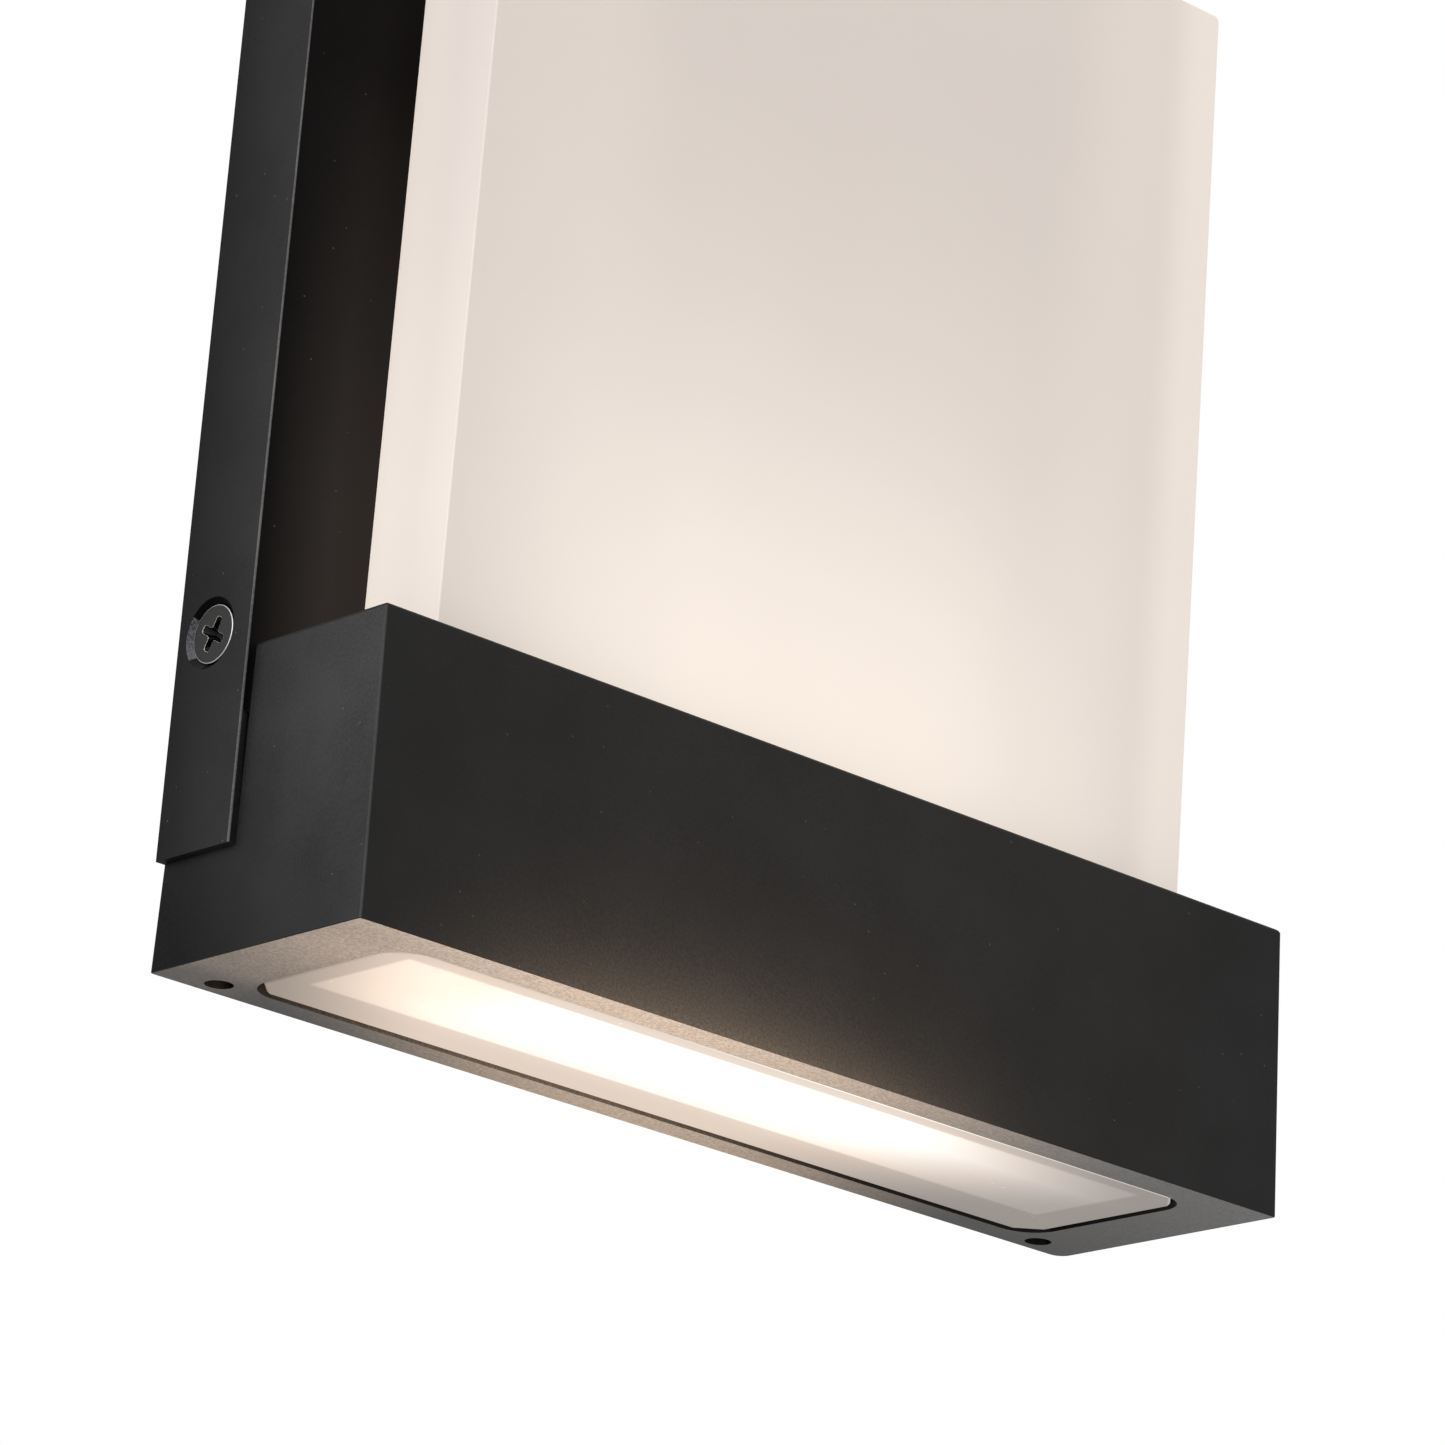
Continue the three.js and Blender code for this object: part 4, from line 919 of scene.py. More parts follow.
def add_node(tree, kind, inputs=(), **settings):
    """Adds a node with its settings and links, and gives its outputs."""
    node = tree.nodes.new("ShaderNode" + kind)
    for name, value in settings.items():
        setattr(node, name, value)
    feed(node, inputs)
    return node.outputs


def new_material(name, **uniform):
    """A material, a function that adds nodes to it, and its surface shader. The keywords are
    the shader's inputs that are even all over."""
    material = bpy.data.materials.new(name)
    material.use_nodes = True
    tree = material.node_tree
    tree.nodes.clear()
    surface = tree.nodes.new("ShaderNodeBsdfPrincipled")
    feed(surface, {socket.replace("_", " "): value for socket, value in uniform.items()})
    add = partial(add_node, tree)
    add("OutputMaterial", [surface.outputs["BSDF"]])
    return material, add, surface


def grain(size):
    """The scale of a pattern whose grains are this many millimetres across."""
    return 1 / (size * MM)


MIX_FACTOR, MIX_A, MIX_B, MIX_RESULT = 0, 6, 7, 2
SMOOTH = {"interpolation_type": "SMOOTHSTEP"}
finishes = {}

# %% [markdown]
# Two small patterns come back in many finishes. Light and wear fade from one place to
# another in soft steps, and a plain colour drifts between two close tones in clouds.


# %% Soft steps and clouds
def fade(add, value, *steps, operation="MULTIPLY"):
    """Multiplies a value by soft steps, or adds them to it. A step has a place that changes,
    the two places between which it runs, and its value at each of them."""
    for step in steps:
        soft = add("MapRange", step, **SMOOTH)[0]
        value = add("Math", [value, soft], operation=operation)[0]
    return value


def cloudy_tone(add, here, scale, detail, dark, light):
    """A colour that drifts between two tones, and the clouds that it follows."""
    clouds = add("TexNoise", {"Vector": here, "Scale": scale, "Detail": detail})[0]
    tone = add("Mix", {
        MIX_FACTOR: clouds, MIX_A: colour(dark), MIX_B: colour(light),
    }, data_type="RGBA")[MIX_RESULT]
    return tone, clouds


# %% [markdown]
# ### Fine-textured black powder coat
# The pan and the housing are coated with a black polyester powder that is baked on. It dries
# to a matt skin with a fine, even grain like very fine sandpaper. The real grain is about
# 0.15 mm across and is drawn at 0.35 mm, so that it still shows. Here and there a pale speck
# of dust is baked in, about one to a square centimetre.


# %% Powder coat
def powder_coat(name, dark, light, sheen, grit=0.35, painted_falloff=None):
    """The coat between two tones, with a weak sheen. The last argument paints a fall-off of light
    on it: it scales the tone along a direction, and holds the direction, its first and last
    distance, and both factors."""
    material, add, surface = new_material(name, Specular_IOR_Level=sheen, IOR=1.45)
    here = add("TexCoord")["Object"]
    sand = add("TexNoise", {"Vector": here, "Scale": grain(grit), "Detail": 3.0})[0]
    clouds = add("TexNoise", {"Vector": here, "Scale": grain(14), "Detail": 3.0})[0]
    mottle = add("Math", [clouds, sand])[0]
    spread = add("MapRange", [mottle, 0.75, 1.25])[0]
    tone = add("Mix", {
        MIX_FACTOR: spread, MIX_A: colour(dark), MIX_B: colour(light),
    }, data_type="RGBA")[MIX_RESULT]
    # Painted light and shade: the tone is scaled paler along a direction, standing for the side light's
    # fall-off.
    if painted_falloff:
        way, *stretch = painted_falloff
        reach = add("VectorMath", [here, way], operation="DOT_PRODUCT")["Value"]
        painted_light_scale = add("MapRange", [reach, *stretch])[0]
        tone = add("VectorMath", {0: tone, "Scale": painted_light_scale}, operation="SCALE")[0]
    dust = add("TexVoronoi", {"Vector": here, "Scale": grain(3)})["Distance"]
    specks = add("MapRange", [dust, 0.02, 0.05, 0.3, 0.0])[0]
    dusted = add("Mix", {
        MIX_FACTOR: specks, MIX_A: tone, MIX_B: colour("8c8782"),
    }, data_type="RGBA")[MIX_RESULT]
    shine = add("MapRange", [sand, 0.3, 0.7, 0.5, 0.66])[0]
    relief = add("Bump", {"Height": sand, "Strength": 0.5, "Distance": 0.05 * MM})[0]
    feed(surface, {"Base Color": dusted, "Roughness": shine, "Normal": relief})
    return material, add, surface, here, sand


# The flanges' coat is painted paler towards the front: a painted fall-off of the side light towards the
# wall.
TO_FRONT = (0.0, -1.0, 0.0)
pan_side_coat = powder_coat(
    "powder_coat_on_flanges", "171717", "222222", 0.08,
    painted_falloff=(TO_FRONT, 0.0, 14 * MM, 0.4, 1.75),
)[0]

# %% [markdown]
# The coat isn't the same everywhere, and some coats paint light and shade. The flanks are
# painted paler towards the front, a painted fall-off of the side light towards the wall. The
# pan's broad face beside the diffuser gets a darker coat as painted shade, and a faint warm
# emission as a painted glow from the diffuser's side. The folds and corners get a lighter,
# shinier coat that draws a painted highlight line. Inside the sunk screw holes the cone gets a
# black coat as painted shade, and a lighter speckled coat where it faces the front as painted
# light. Each gets its own tones.

# %% Coat on the pan's face
# Painted shade: a darker copy of the coat for the pan's face beside the diffuser.
pan_face_shade_coat, add, surface, here, _ = powder_coat(
    "powder_coat_with_painted_shade_and_glow_on_pan_face", "080707", "0d0c0c", 0.05,
)
x, y, z = add("SeparateXYZ", [here])
# Painted glow: an emission that grows towards the block and towards the foot stands for the diffuser's
# warm light on the pan's face.
towards_block = add("MapRange", [x, -79.5 * MM, -69 * MM, 0.0, 0.024])[0]
towards_foot = add("MapRange", [z, up(60), up(120), 1.0, 0.15])[0]
glow = add("Math", [towards_block, towards_foot], operation="MULTIPLY")[0]
feed(surface, {"Emission Color": colour("ffe8d8"), "Emission Strength": glow})

# %% Coats on the folds, the flanks and in the sunk holes
RISE = 0.6
foot = RISE * up(0)
# Painted highlights: lighter, shinier coats that draw a light line on the pan's folds and the housing's
# front corners.
fold_highlight_coat = powder_coat("powder_coat_painted_highlight_on_folds", "434241", "656361", 0.35)[0]
corner_highlight_coat = powder_coat("powder_coat_painted_highlight_on_corners", "2c2b2b", "3c3b3a", 0.3)[0]
# The housing's flanks are painted paler towards the front and top: a painted fall-off of the side light.
flank_coat = powder_coat(
    "powder_coat_on_casting_flanks", "171717", "222222", 0.08,
    painted_falloff=((0.0, -1.0, RISE), 6 * MM + foot, 62 * MM + foot, 0.15, 3.6),
)[0]
# Painted shade in the sunk holes as a black coat, and painted light as a lighter speckled coat where the
# cone faces the front.
sink_shade_coat = powder_coat("powder_coat_painted_shade_in_sunk_holes", "050505", "0a0a0a", 0.03)[0]
sink_lit_coat = powder_coat("powder_coat_painted_light_in_sunk_holes", "0f0f11", "6c6b75", 0.25, grit=0.3)[0]

# %% [markdown]
# The lit pane throws a warm glow on the housing's underside, strongest a little left of its
# middle, and some creeps up over the lower front edge. The rest of the underside mirrors the
# pale floor as an even grey. Scattered light like that would need a very long render to come
# out smooth, so both are painted as a soft emission on faces that look down, and the creep
# as one on the lowest millimetres of the front face.

# %% Housing coat and the way its faces look
housing_coat, add, surface, here, sand = powder_coat(
    "powder_coat_on_casting", "171615", "222121", 0.14,
)
x, y, z = add("SeparateXYZ", [here])
_, facing_y, facing_z = add("SeparateXYZ", [add("NewGeometry")["Normal"]])
downwards = add("MapRange", [facing_z, -0.97, -0.7, 1.0, 0.0], **SMOOTH)[0]
frontwards = add("MapRange", [facing_y, -0.9, -0.4, 1.0, 0.0])[0]

# %% [markdown]
# On the underside the glow's middle moves left towards the front, and the glow is wider there.
# A separate soft patch lights the left end.

# %% Warm and grey light on the underside
SLANT = -0.843
WARM_REACH = 60 * MM
skewed = add("VectorMath", [here, (1.0, SLANT, 0.0)], operation="DOT_PRODUCT")["Value"]
reach = add("Math", [y, SLANT, WARM_REACH], operation="MULTIPLY_ADD")[0]
share = add("Math", [skewed, reach], operation="DIVIDE")[0]
share = add("Math", [share], operation="ABSOLUTE")[0]
below = add("MapRange", [share, 0.02, 1.0, 1.0, 0.0], **SMOOTH)[0]
left_end = add("MapRange", [x, -72 * MM, -62 * MM, 0.11, 0.0], **SMOOTH)[0]
left_patch = fade(
    add, left_end,
    (y, -37 * MM, -27 * MM, 0.0, 1.0),
    (y, -11 * MM, -4 * MM, 1.0, 0.3),
)
fading = add("MapRange", [y, housing_low.y, 0.0, 0.56, 0.38])[0]
below = add("Math", [below, fading, left_patch], operation="MULTIPLY_ADD")[0]
below = add("Math", [below, downwards], operation="MULTIPLY")[0]
grey = add("MapRange", [y, housing_low.y, 0.0, 0.115, 0.055])[0]
grey = add("Math", [grey, downwards], operation="MULTIPLY")[0]

# %% [markdown]
# On the front the glow fades upwards within a few millimetres, and a breath of it goes on to
# the top. Each of the two is strongest round its own middle.

# %% Warm light on the front
CREEP = 5.2 * MM
CREEP_GLOW = 0.125
BREATH_GLOW = 0.006
off_edge = add("Math", [z, housing_low.z], operation="SUBTRACT")[0]
shrunk = add("Math", [off_edge, -1 / CREEP], operation="MULTIPLY")[0]
fringe = add("Math", [shrunk], operation="EXPONENT")[0]
fringe = add("Math", [fringe, CREEP_GLOW], operation="MULTIPLY")[0]
front_light = 0.0
for strength, middle, inner, outer in ((fringe, -20, 2, 60), (BREATH_GLOW, -6, 20, 84)):
    off_middle = add("Math", [x, middle * MM], operation="SUBTRACT")[0]
    distance = add("Math", [off_middle], operation="ABSOLUTE")[0]
    across = add("MapRange", [distance, inner * MM, outer * MM, 1.0, 0.0], **SMOOTH)[0]
    front_light = add("Math", [across, strength, front_light], operation="MULTIPLY_ADD")[0]
front_light = add("Math", [front_light, frontwards], operation="MULTIPLY")[0]

# %% Both lights together
WARM = colour("ffdcbc")[:3]
COOL = (1.0, 0.98, 0.97)
grainy = add("MapRange", [sand, 0.35, 0.65, 0.76, 1.2])[0]
warm = add("Math", [below, front_light])[0]
lights = []
for tone, strength in ((WARM, warm), (COOL, grey)):
    strength = add("Math", [strength, grainy], operation="MULTIPLY")[0]
    lights.append(add("VectorMath", {0: tone, "Scale": strength}, operation="SCALE")[0])
both = add("VectorMath", lights, operation="ADD")[0]
feed(surface, {"Emission Color": both, "Emission Strength": 1.0})

# %% [markdown]
# ### Opal acrylic, moulded
# The block is white acrylic with a scattering filler, moulded with a satin skin. It glows
# from inside, brightest low down in the middle, near its light chips. Unlit it would be an
# even warm white, so the base colour is that, and the glow is added as emission: a wide hump
# over an even level. Soft steps then lift it at both ends, towards the wall and at the top.

# %% Opal acrylic
EVEN_GLOW = 0.155
HUMP_GLOW = 0.34
HUMP_MIDDLE = -4 * MM
HUMP_HEIGHT = 56 * MM
opal, add, surface = new_material("opal_acrylic", Roughness=0.5, IOR=1.49, Specular_IOR_Level=0.2)
here = add("TexCoord")["Object"]
x, y, z = add("SeparateXYZ", [here])
off_middle = add("Math", [x, -HUMP_MIDDLE])[0]
off_middle = add("Math", [off_middle], operation="ABSOLUTE")[0]
across = add("MapRange", [off_middle, 18 * MM, 74 * MM, 1.0, 0.0], **SMOOTH)[0]
off_foot = add("Math", [z, up(35)], operation="SUBTRACT")[0]
shrunk = add("Math", [off_foot, 1 / HUMP_HEIGHT], operation="MULTIPLY")[0]
squared = add("Math", [shrunk, shrunk], operation="MULTIPLY")[0]
falling = add("Math", [squared, -1.0], operation="MULTIPLY")[0]
upwards = add("Math", [falling], operation="EXPONENT")[0]
hump = add("Math", [across, upwards], operation="MULTIPLY")[0]
glow = add("Math", [hump, HUMP_GLOW, EVEN_GLOW], operation="MULTIPLY_ADD")[0]

# %% [markdown]
# The block's sides are a little dimmer than its front high up and a touch brighter at the
# foot, so a weak share of the same fall goes on the faces that look sideways.

# %% Sides, steps and skin of the block
facing_x, _, _ = add("SeparateXYZ", [add("NewGeometry")["Normal"]])
sideways = add("Math", [facing_x], operation="ABSOLUTE")[0]
on_side = add("MapRange", [sideways, 0.5, 0.9])[0]
side_light = add("Math", [upwards, 0.09, -0.08], operation="MULTIPLY_ADD")[0]
side_light = add("Math", [side_light, on_side], operation="MULTIPLY")[0]
glow = add("Math", [glow, side_light])[0]
glow = fade(
    add, glow,
    (x, 30 * MM, 50 * MM, 0.0, 0.06),
    (x, 54 * MM, 61.5 * MM, 0.0, 0.10),
    (x, -48 * MM, -30 * MM, 0.04, 0.0),
    (y, -27 * MM, -19 * MM, 0.0, 0.09),
    (z, up(140), up(165), 0.0, 0.01),
    operation="ADD",
)
white, _ = cloudy_tone(add, here, grain(26), 2.0, "d2c9c4", "d8cfca")
skin = add("TexNoise", {"Vector": here, "Scale": grain(0.6), "Detail": 2.0})[0]
relief = add("Bump", {"Height": skin, "Strength": 0.08, "Distance": 0.02 * MM})[0]
feed(surface, {"Base Color": white, "Normal": relief})
feed(surface, {"Emission Color": colour("fff1e1"), "Emission Strength": glow})
finishes["opal"] = opal

# %% [markdown]
# ### Frosted glass, lit from behind
# The pane is sheet glass with a sandblasted face. Behind it the reflector's long opening
# shows as a bright field with a white-hot middle that falls off towards both ends, and the
# frame round it is dimmer. Frosting blurs the edge of the bright field a little. The ground
# front arris pipes light to the eye as a fine bright line. Blasting leaves a fine sparkle,
# and here and there a pale speck.

# %% Frosted glass
FIELD_LINE = -25 * MM
FIELD_SLANT = 0.7
glass, add, surface = new_material("frosted_glass", Roughness=0.5, IOR=1.52, Specular_IOR_Level=0.3)
here = add("TexCoord")["Object"]
x, y, z = add("SeparateXYZ", [here])
leftwards = add("VectorMath", [here, (-1.0, FIELD_SLANT, 0.0)], operation="DOT_PRODUCT")["Value"]
off_line = add("Math", [y, -FIELD_LINE])[0]
off_line = add("Math", [off_line], operation="ABSOLUTE")[0]
rightwards = add("Math", [off_line, FIELD_SLANT, x], operation="MULTIPLY_ADD")[0]
field = fade(
    add, 1.0,
    (leftwards, 34 * MM, 66 * MM, 1.0, 0.0),
    (rightwards, 18 * MM, 68 * MM, 1.0, 0.0),
    (y, -35 * MM, -29.5 * MM, 0.9, 1.0),
    (y, -17 * MM, -8 * MM, 1.0, 0.82),
)

# %% [markdown]
# Outside the reflector's opening only a share of that light gets through: that is the frame.

# %% Frame round the bright field
EDGE_BLUR = 0.45 * MM
OPENING_LOW, OPENING_HIGH = (-64.4 * MM, -31.6 * MM), (61.4 * MM, -12.8 * MM)
FRAME_SHARE = 0.68
in_opening = fade(add, 1.0, *(
    (place_along, edge - EDGE_BLUR, edge + EDGE_BLUR, before, 1.0 - before)
    for place_along, edge, before in (
        (x, OPENING_LOW[0], 0.0),
        (x, OPENING_HIGH[0], 1.0),
        (y, OPENING_LOW[1], 0.0),
        (y, OPENING_HIGH[1], 1.0),
    )
))
dimming = add("Math", [in_opening, 1 - FRAME_SHARE, FRAME_SHARE], operation="MULTIPLY_ADD")[0]
lamp = add("Math", [field, 0.8, 0.26], operation="MULTIPLY_ADD")[0]
lamp = add("Math", [lamp, dimming], operation="MULTIPLY")[0]
_, facing_y, _ = add("SeparateXYZ", [add("NewGeometry")["Normal"]])
arris = add("MapRange", [facing_y, -0.75, -0.35, 1.0, 0.0])[0]
along_arris = add("MapRange", [x, -40 * MM, 10 * MM, 0.0, 0.5], **SMOOTH)[0]
lamp = add("Math", [arris, along_arris, lamp], operation="MULTIPLY_ADD")[0]

# %% Colours and frost of the pane
cool_end = add("MapRange", [x, 20 * MM, 56 * MM])[0]
rim_tone = add("Mix", {
    MIX_FACTOR: cool_end, MIX_A: colour("ffe6d2"), MIX_B: colour("fff3ec"),
}, data_type="RGBA")[MIX_RESULT]
whiter = add("MapRange", [lamp, 0.55, 1.0])[0]
whiteness = fade(
    add, whiter,
    (x, -56 * MM, -36 * MM, 0.0, 1.0),
    (y, -22 * MM, -13 * MM, 1.0, 0.45),
)
tint = add("Mix", {
    MIX_FACTOR: whiteness, MIX_A: rim_tone, MIX_B: colour("fffcf6"),
}, data_type="RGBA")[MIX_RESULT]
lamp_colour = add("VectorMath", {0: tint, "Scale": lamp}, operation="SCALE")[0]
frost = add("TexNoise", {"Vector": here, "Scale": grain(0.4), "Detail": 2.0})[0]
specks = add("TexNoise", {"Vector": here, "Scale": grain(1.4), "Detail": 0.0})[0]
pale = add("MapRange", [specks, 0.84, 0.87, 0.0, 0.4])[0]
base = add("Mix", {
    MIX_FACTOR: pale, MIX_A: colour("6e6862"), MIX_B: colour("ddd6cc"),
}, data_type="RGBA")[MIX_RESULT]
relief = add("Bump", {"Height": frost, "Strength": 0.2, "Distance": 0.03 * MM})[0]
feed(surface, {"Base Color": base, "Normal": relief})
feed(surface, {"Emission Color": lamp_colour, "Emission Strength": 1.0})
finishes["frosted_glass"] = glass

# %% [markdown]
# ### Silicone, rubber and foam
# The bead is brown neutral-cure silicone smoothed with a tool, so it is satin and slightly
# lumpy. The rings and grommets are moulded black rubber with a dull bloom. The wall strip is
# black closed-cell foam whose cut cells show as tiny pits, about 0.5 mm across.


# %% Soft black and brown finishes
def soft_finish(name, dark, light, roughness, cell, depth):
    """A soft material: two close tones, an even roughness and pits of a real cell size."""
    material, add, surface = new_material(name, Roughness=roughness, Specular_IOR_Level=0.3)
    here = add("TexCoord")["Object"]
    tone, _ = cloudy_tone(add, here, grain(4), 3.0, dark, light)
    cells = add("TexVoronoi", {"Vector": here, "Scale": grain(cell)})["Distance"]
    relief = add("Bump", {"Height": cells, "Strength": 0.5, "Distance": depth * MM})[0]
    feed(surface, {"Base Color": tone, "Normal": relief})
    return material


finishes["silicone"] = soft_finish("brown_silicone", "1f1610", "33251a", 0.5, 2.2, 0.1)
finishes["rubber"] = soft_finish("black_rubber", "111111", "1d1c1b", 0.6, 0.5, 0.01)
finishes["foam"] = soft_finish("closed_cell_foam", "171717", "262525", 0.9, 0.5, 0.2)

# %% [markdown]
# ### Zinc plated steel
# The bracket, the hanger strip and the screws are steel with a bright zinc plating. It is a
# greyish metal whose shine varies in soft clouds a few millimetres wide, with fine rolling
# marks that run along the sheet. The marks are far thinner than can be seen here, so they are
# drawn about 0.4 mm apart. The other metals of the lantern are made the same way.


# %% Bare and plated metals
def worn_metal(name, dull, bright, low, high):
    """A metal whose tone and roughness drift in clouds, with rolling marks along x."""
    material, add, surface = new_material(name, Metallic=1.0)
    here = add("TexCoord")["Object"]
    rolled = add("Mapping", {"Vector": here, "Scale": (0.03, 1.0, 1.0)})[0]
    marks = add("TexNoise", {"Vector": rolled, "Scale": grain(0.4), "Detail": 2.0})[0]
    tone, clouds = cloudy_tone(add, here, grain(8), 4.0, dull, bright)
    both = add("Math", [marks, clouds])[0]
    shine = add("MapRange", [both, 0.6, 1.4, low, high])[0]
    relief = add("Bump", {"Height": marks, "Strength": 0.12, "Distance": 0.02 * MM})[0]
    feed(surface, {"Base Color": tone, "Roughness": shine, "Normal": relief})
    return material


finishes["zinc_steel"] = worn_metal("zinc_plated_steel", "8f9194", "bfc1c2", 0.26, 0.5)
finishes["aluminium"] = worn_metal("rolled_aluminium", "a9abad", "cfd0d1", 0.28, 0.45)
finishes["brass"] = worn_metal("plain_brass", "9c7b35", "c9a75a", 0.25, 0.45)
finishes["black_steel"] = worn_metal("blackened_steel", "1c1b1b", "302f2e", 0.32, 0.5)
# A light steel for the screw heads' broken rims and recess edges: a painted highlight.
rim_highlight_steel = worn_metal("rim_highlight_steel", "98979b", "c4c3c5", 0.3, 0.45)

# %% [markdown]
# ### Plastics and boards
# The terminal block and the driver case are white moulded plastic with a fine spark-eroded
# texture. The circuit boards have a smooth solder mask, white under the light chips and green
# in the driver. The leads have smooth coloured insulation.


# %% Moulded and printed finishes
def moulded(name, dark, light, roughness):
    """A smooth coloured plastic with a slight drift in tone and a fine moulded skin."""
    material, add, surface = new_material(name, IOR=1.5, Specular_IOR_Level=0.45)
    here = add("TexCoord")["Object"]
    tone, _ = cloudy_tone(add, here, grain(10), 3.0, dark, light)
    skin = add("TexNoise", {"Vector": here, "Scale": grain(0.4), "Detail": 1.0})[0]
    shine = add("MapRange", [skin, 0.0, 1.0, roughness - 0.08, roughness + 0.08])[0]
    relief = add("Bump", {"Height": skin, "Strength": 0.15, "Distance": 0.02 * MM})[0]
    feed(surface, {"Base Color": tone, "Roughness": shine, "Normal": relief})
    return material


finishes["white_plastic"] = moulded("white_moulding", "dcdad2", "e9e7e0", 0.5)
finishes["board_white"] = moulded("white_solder_mask", "dddcd4", "e8e7e0", 0.4)
finishes["board_green"] = moulded("green_solder_mask", "1f5a30", "2d6b3f", 0.3)
finishes["dark_part"] = moulded("dark_ferrite", "1c1e22", "2a2d31", 0.45)
finishes["red_lead"] = moulded("red_insulation", "9a1d1d", "ad2626", 0.4)
finishes["black_lead"] = moulded("black_insulation", "161616", "222222", 0.4)
finishes["brown_lead"] = moulded("brown_insulation", "52301d", "623b25", 0.4)
finishes["blue_lead"] = moulded("blue_insulation", "1f4f9c", "295cae", 0.4)
finishes["earth_lead"] = moulded("green_insulation", "5f8f27", "7ba537", 0.4)

# %% [markdown]
# ### Finishes go on
# Every new piece and every node of the frame that still shows gets the finish that its slot
# names. The pan, the housing and the screws wear more than one: their folds, corners, rims
# and sunk holes are picked by place and normal, and get the coats and the steel that paint
# highlights, light and shade on them.


# %% Coat faces by place and normal
def coat_faces(piece, *choices):
    """Gives a piece one finish, and others to the faces that pass a test of place and normal."""
    piece.data.materials.clear()
    piece.data.materials.append(choices[0])
    for number, (finish_of_faces, test) in enumerate(choices[1:], start=1):
        piece.data.materials.append(finish_of_faces)
        chosen = [face for face in piece.data.polygons if test(face.center, face.normal)]
        for face in chosen:
            face.material_index = number
        print(f"{piece.name}: {finish_of_faces.name} on {len(chosen)} faces")


def is_bent(way):
    """True for the narrow faces that round an upright edge."""
    return max(abs(way.x), abs(way.y)) < 0.985 and abs(way.z) < 0.3


def on_fold(middle):
    """True for places on the pan's front folds."""
    return middle.y < pan_low.y + FOLD and abs(middle.x) > pan_high.x - FOLD


def on_cone(middle, way):
    """True for the slanting faces of the sunk holes in the pan's flanges."""
    return (0.3 < abs(way.x) < 0.95 and abs(middle.x) < pan_high.x - 0.02 * MM
            and math.hypot(middle.y - screw_y, middle.z - screw_z) < SINK / 2)


def is_rim_highlight(middle, way):
    """True for the broken edges of a screw's head and of its cross recess, which get a painted highlight.
    """
    return abs(middle.x) > seat_of_head - HEAD_ROUND and 0.15 < abs(way.x) < 0.97


# %% Assign the finishes
for piece in (diffuser, pane, bead, bracket, seal, grommet, *rings):
    coat_faces(piece, finishes[piece["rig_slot"]])
# Screw heads: their broken rims and recess edges get a light steel, a painted highlight.
for piece in screws:
    coat_faces(piece, finishes["black_steel"], (rim_highlight_steel, is_rim_highlight))
# The pan: painted shade and glow on its face, a painted highlight on its folds, painted shade in the sunk
# holes, and painted light where their cones face up or to the front.
coat_faces(
    pan, pan_side_coat,
    (pan_face_shade_coat, lambda middle, way: way.y < -0.97 and middle.z > up(FACE_FOOT)),
    (fold_highlight_coat, lambda middle, way: is_bent(way) and on_fold(middle)),
    (sink_shade_coat, on_cone),
    (pan_side_coat, lambda middle, way: on_cone(middle, way) and way.y < -0.2 < way.z),
    (sink_lit_coat, lambda middle, way: on_cone(middle, way) and way.y < -0.56),
)
# The housing: a painted fall-off of light on its flanks, and a painted highlight on its front upright
# corners.
coat_faces(
    housing, housing_coat,
    (flank_coat, lambda middle, way: abs(way.x) > 0.985),
    (corner_highlight_coat, lambda middle, way: is_bent(way) and middle.y < housing_low.y + 2 * MM),
)
still_shown = [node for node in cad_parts.values() if not node.hide_render]
for node in still_shown:
    slot_name = node.material_slots[0].material.name.split(".")[0]
    node.material_slots[0].material = finishes[slot_name]
print("frame nodes with a new finish:", len(still_shown))

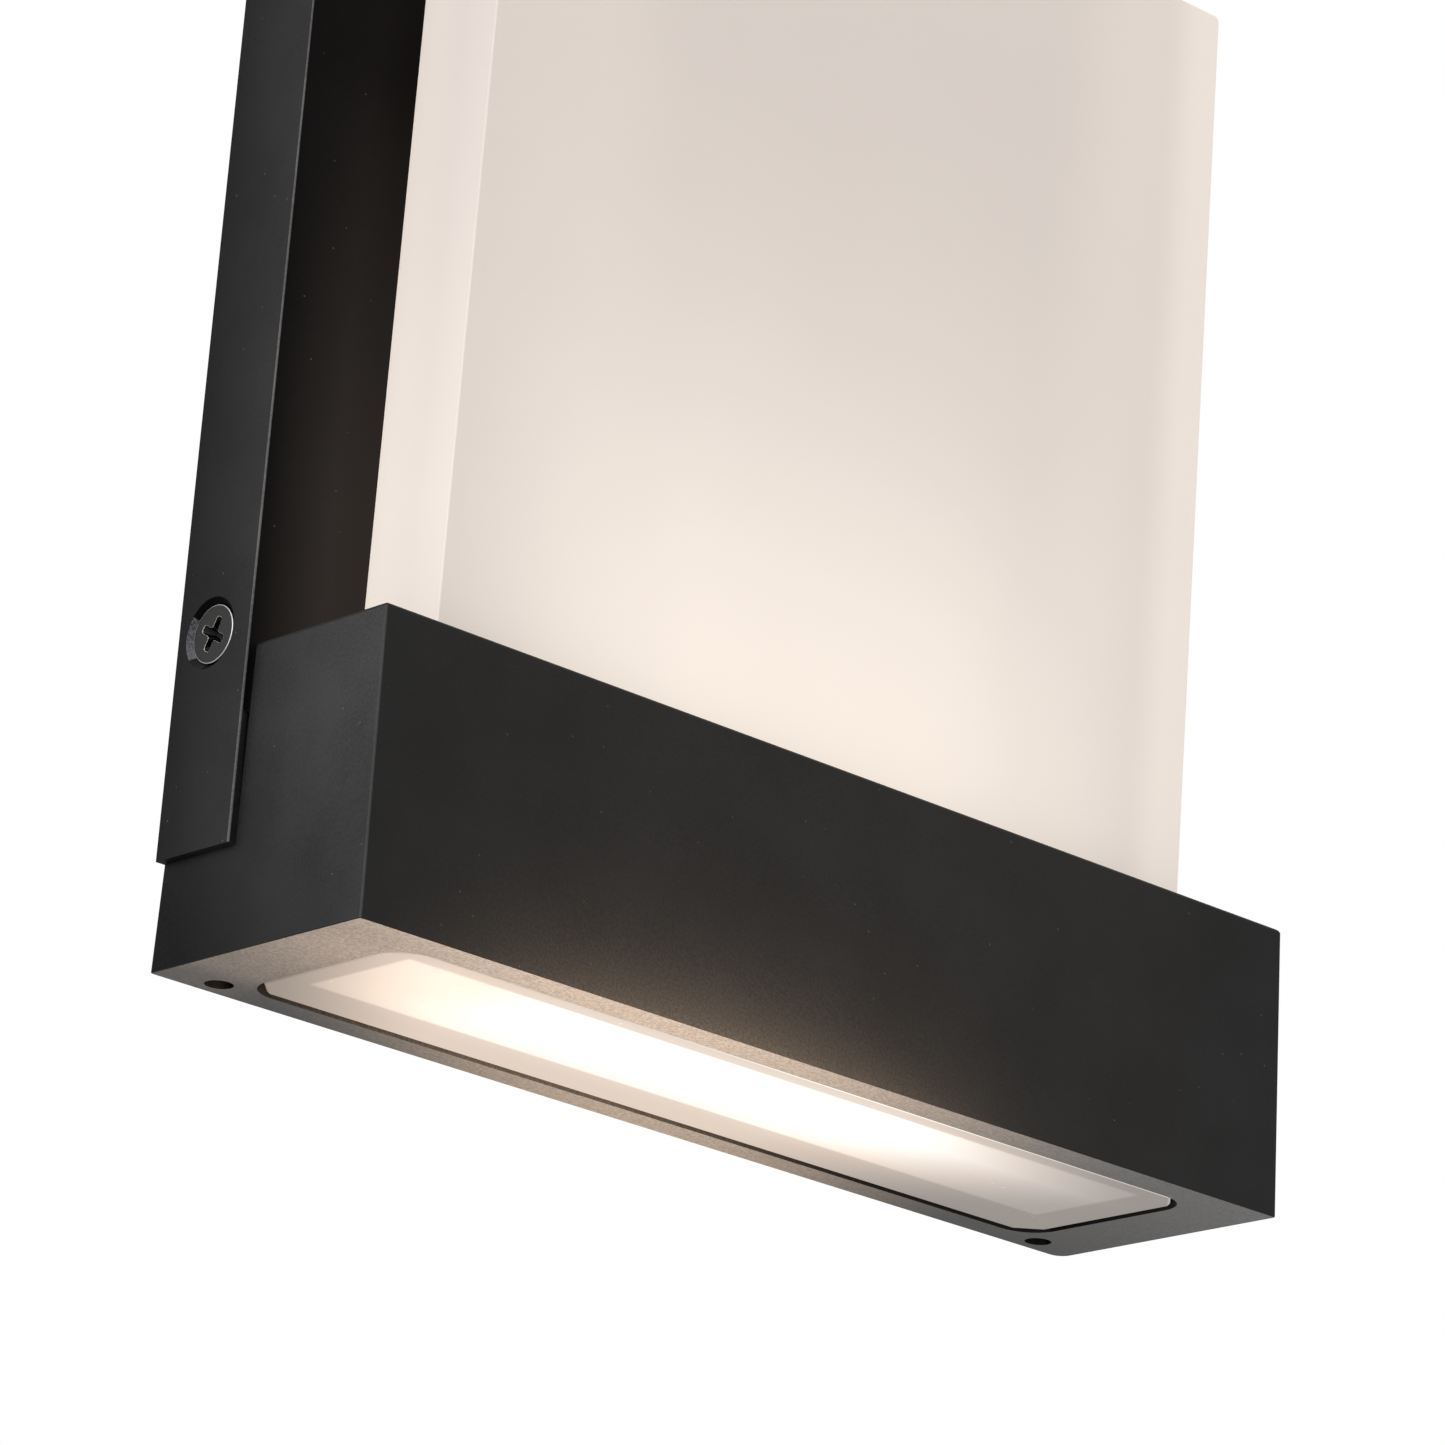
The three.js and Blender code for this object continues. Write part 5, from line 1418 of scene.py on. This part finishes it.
# %% [markdown]
# ## Floor and light
# A plain pale floor lies well below the lantern, which hangs on its wall, and the lantern's
# shadow falls there softly. The sky is plain white to the eye and in reflections, and weaker
# as a light, so that the lamps can model the shape. Three suns with wide discs do that: a
# strong one from the left, and two weak ones. The first of those stands behind on the left
# and gives the left flanks their sheen, and the second stands in front.

# %% Floor
FLOOR_SIZE = 24
FLOOR_HEIGHT = -0.62
FLOOR_PATCHES = 1.5
rest()
bpy.ops.mesh.primitive_plane_add(size=FLOOR_SIZE, location=(0, 0, FLOOR_HEIGHT))
ground = settle("floor")
floor_material, add, surface = new_material("pale_floor", Roughness=0.8, Specular_IOR_Level=0.2)
here = add("TexCoord")["Object"]
floor_tone, _ = cloudy_tone(add, here, FLOOR_PATCHES, 2.0, "eeedeb", "f3f2f0")
feed(surface, {"Base Color": floor_tone})
ground.data.materials.append(floor_material)

# %% Sky and suns
SKY_LIGHT = 0.45
sky = bpy.data.worlds.new("sky")
sky.use_nodes = True
sky.node_tree.nodes.clear()
add = partial(add_node, sky.node_tree)
path = add("LightPath")
seen = add("Math", [path["Is Camera Ray"], path["Is Glossy Ray"]], operation="MAXIMUM")[0]
seen = add("Math", [seen, path["Is Transmission Ray"]], operation="MAXIMUM")[0]
brightness = add("MapRange", [seen, 0.0, 1.0, SKY_LIGHT, 1.0])[0]
shining = add("Background", {"Color": (1, 1, 1, 1), "Strength": brightness})
add("OutputWorld", {"Surface": shining["Background"]})
bpy.context.scene.world = sky


def sun(name, towards, strength, width):
    """A sun whose light comes from a direction, with a soft disc some degrees wide."""
    lamp = bpy.data.lights.new(name, "SUN")
    lamp.energy = strength
    lamp.angle = width * DEGREE
    holder = bpy.data.objects.new(name, lamp)
    holder.rotation_mode = "QUATERNION"
    holder.rotation_quaternion = Vector(towards).to_track_quat("Z", "Y")
    bpy.context.scene.collection.objects.link(holder)


sun("left_sun", (-0.90, -0.15, 0.35), 1.7, 50)
sun("rear_left_sun", (-0.70, 0.60, 0.35), 0.3, 40)
sun("front_sun", (0.25, -0.85, 0.45), 0.4, 60)

# %% [markdown]
# The Standard view shows a colour as it is written.

# %% View
bpy.context.scene.view_settings.view_transform = "Standard"
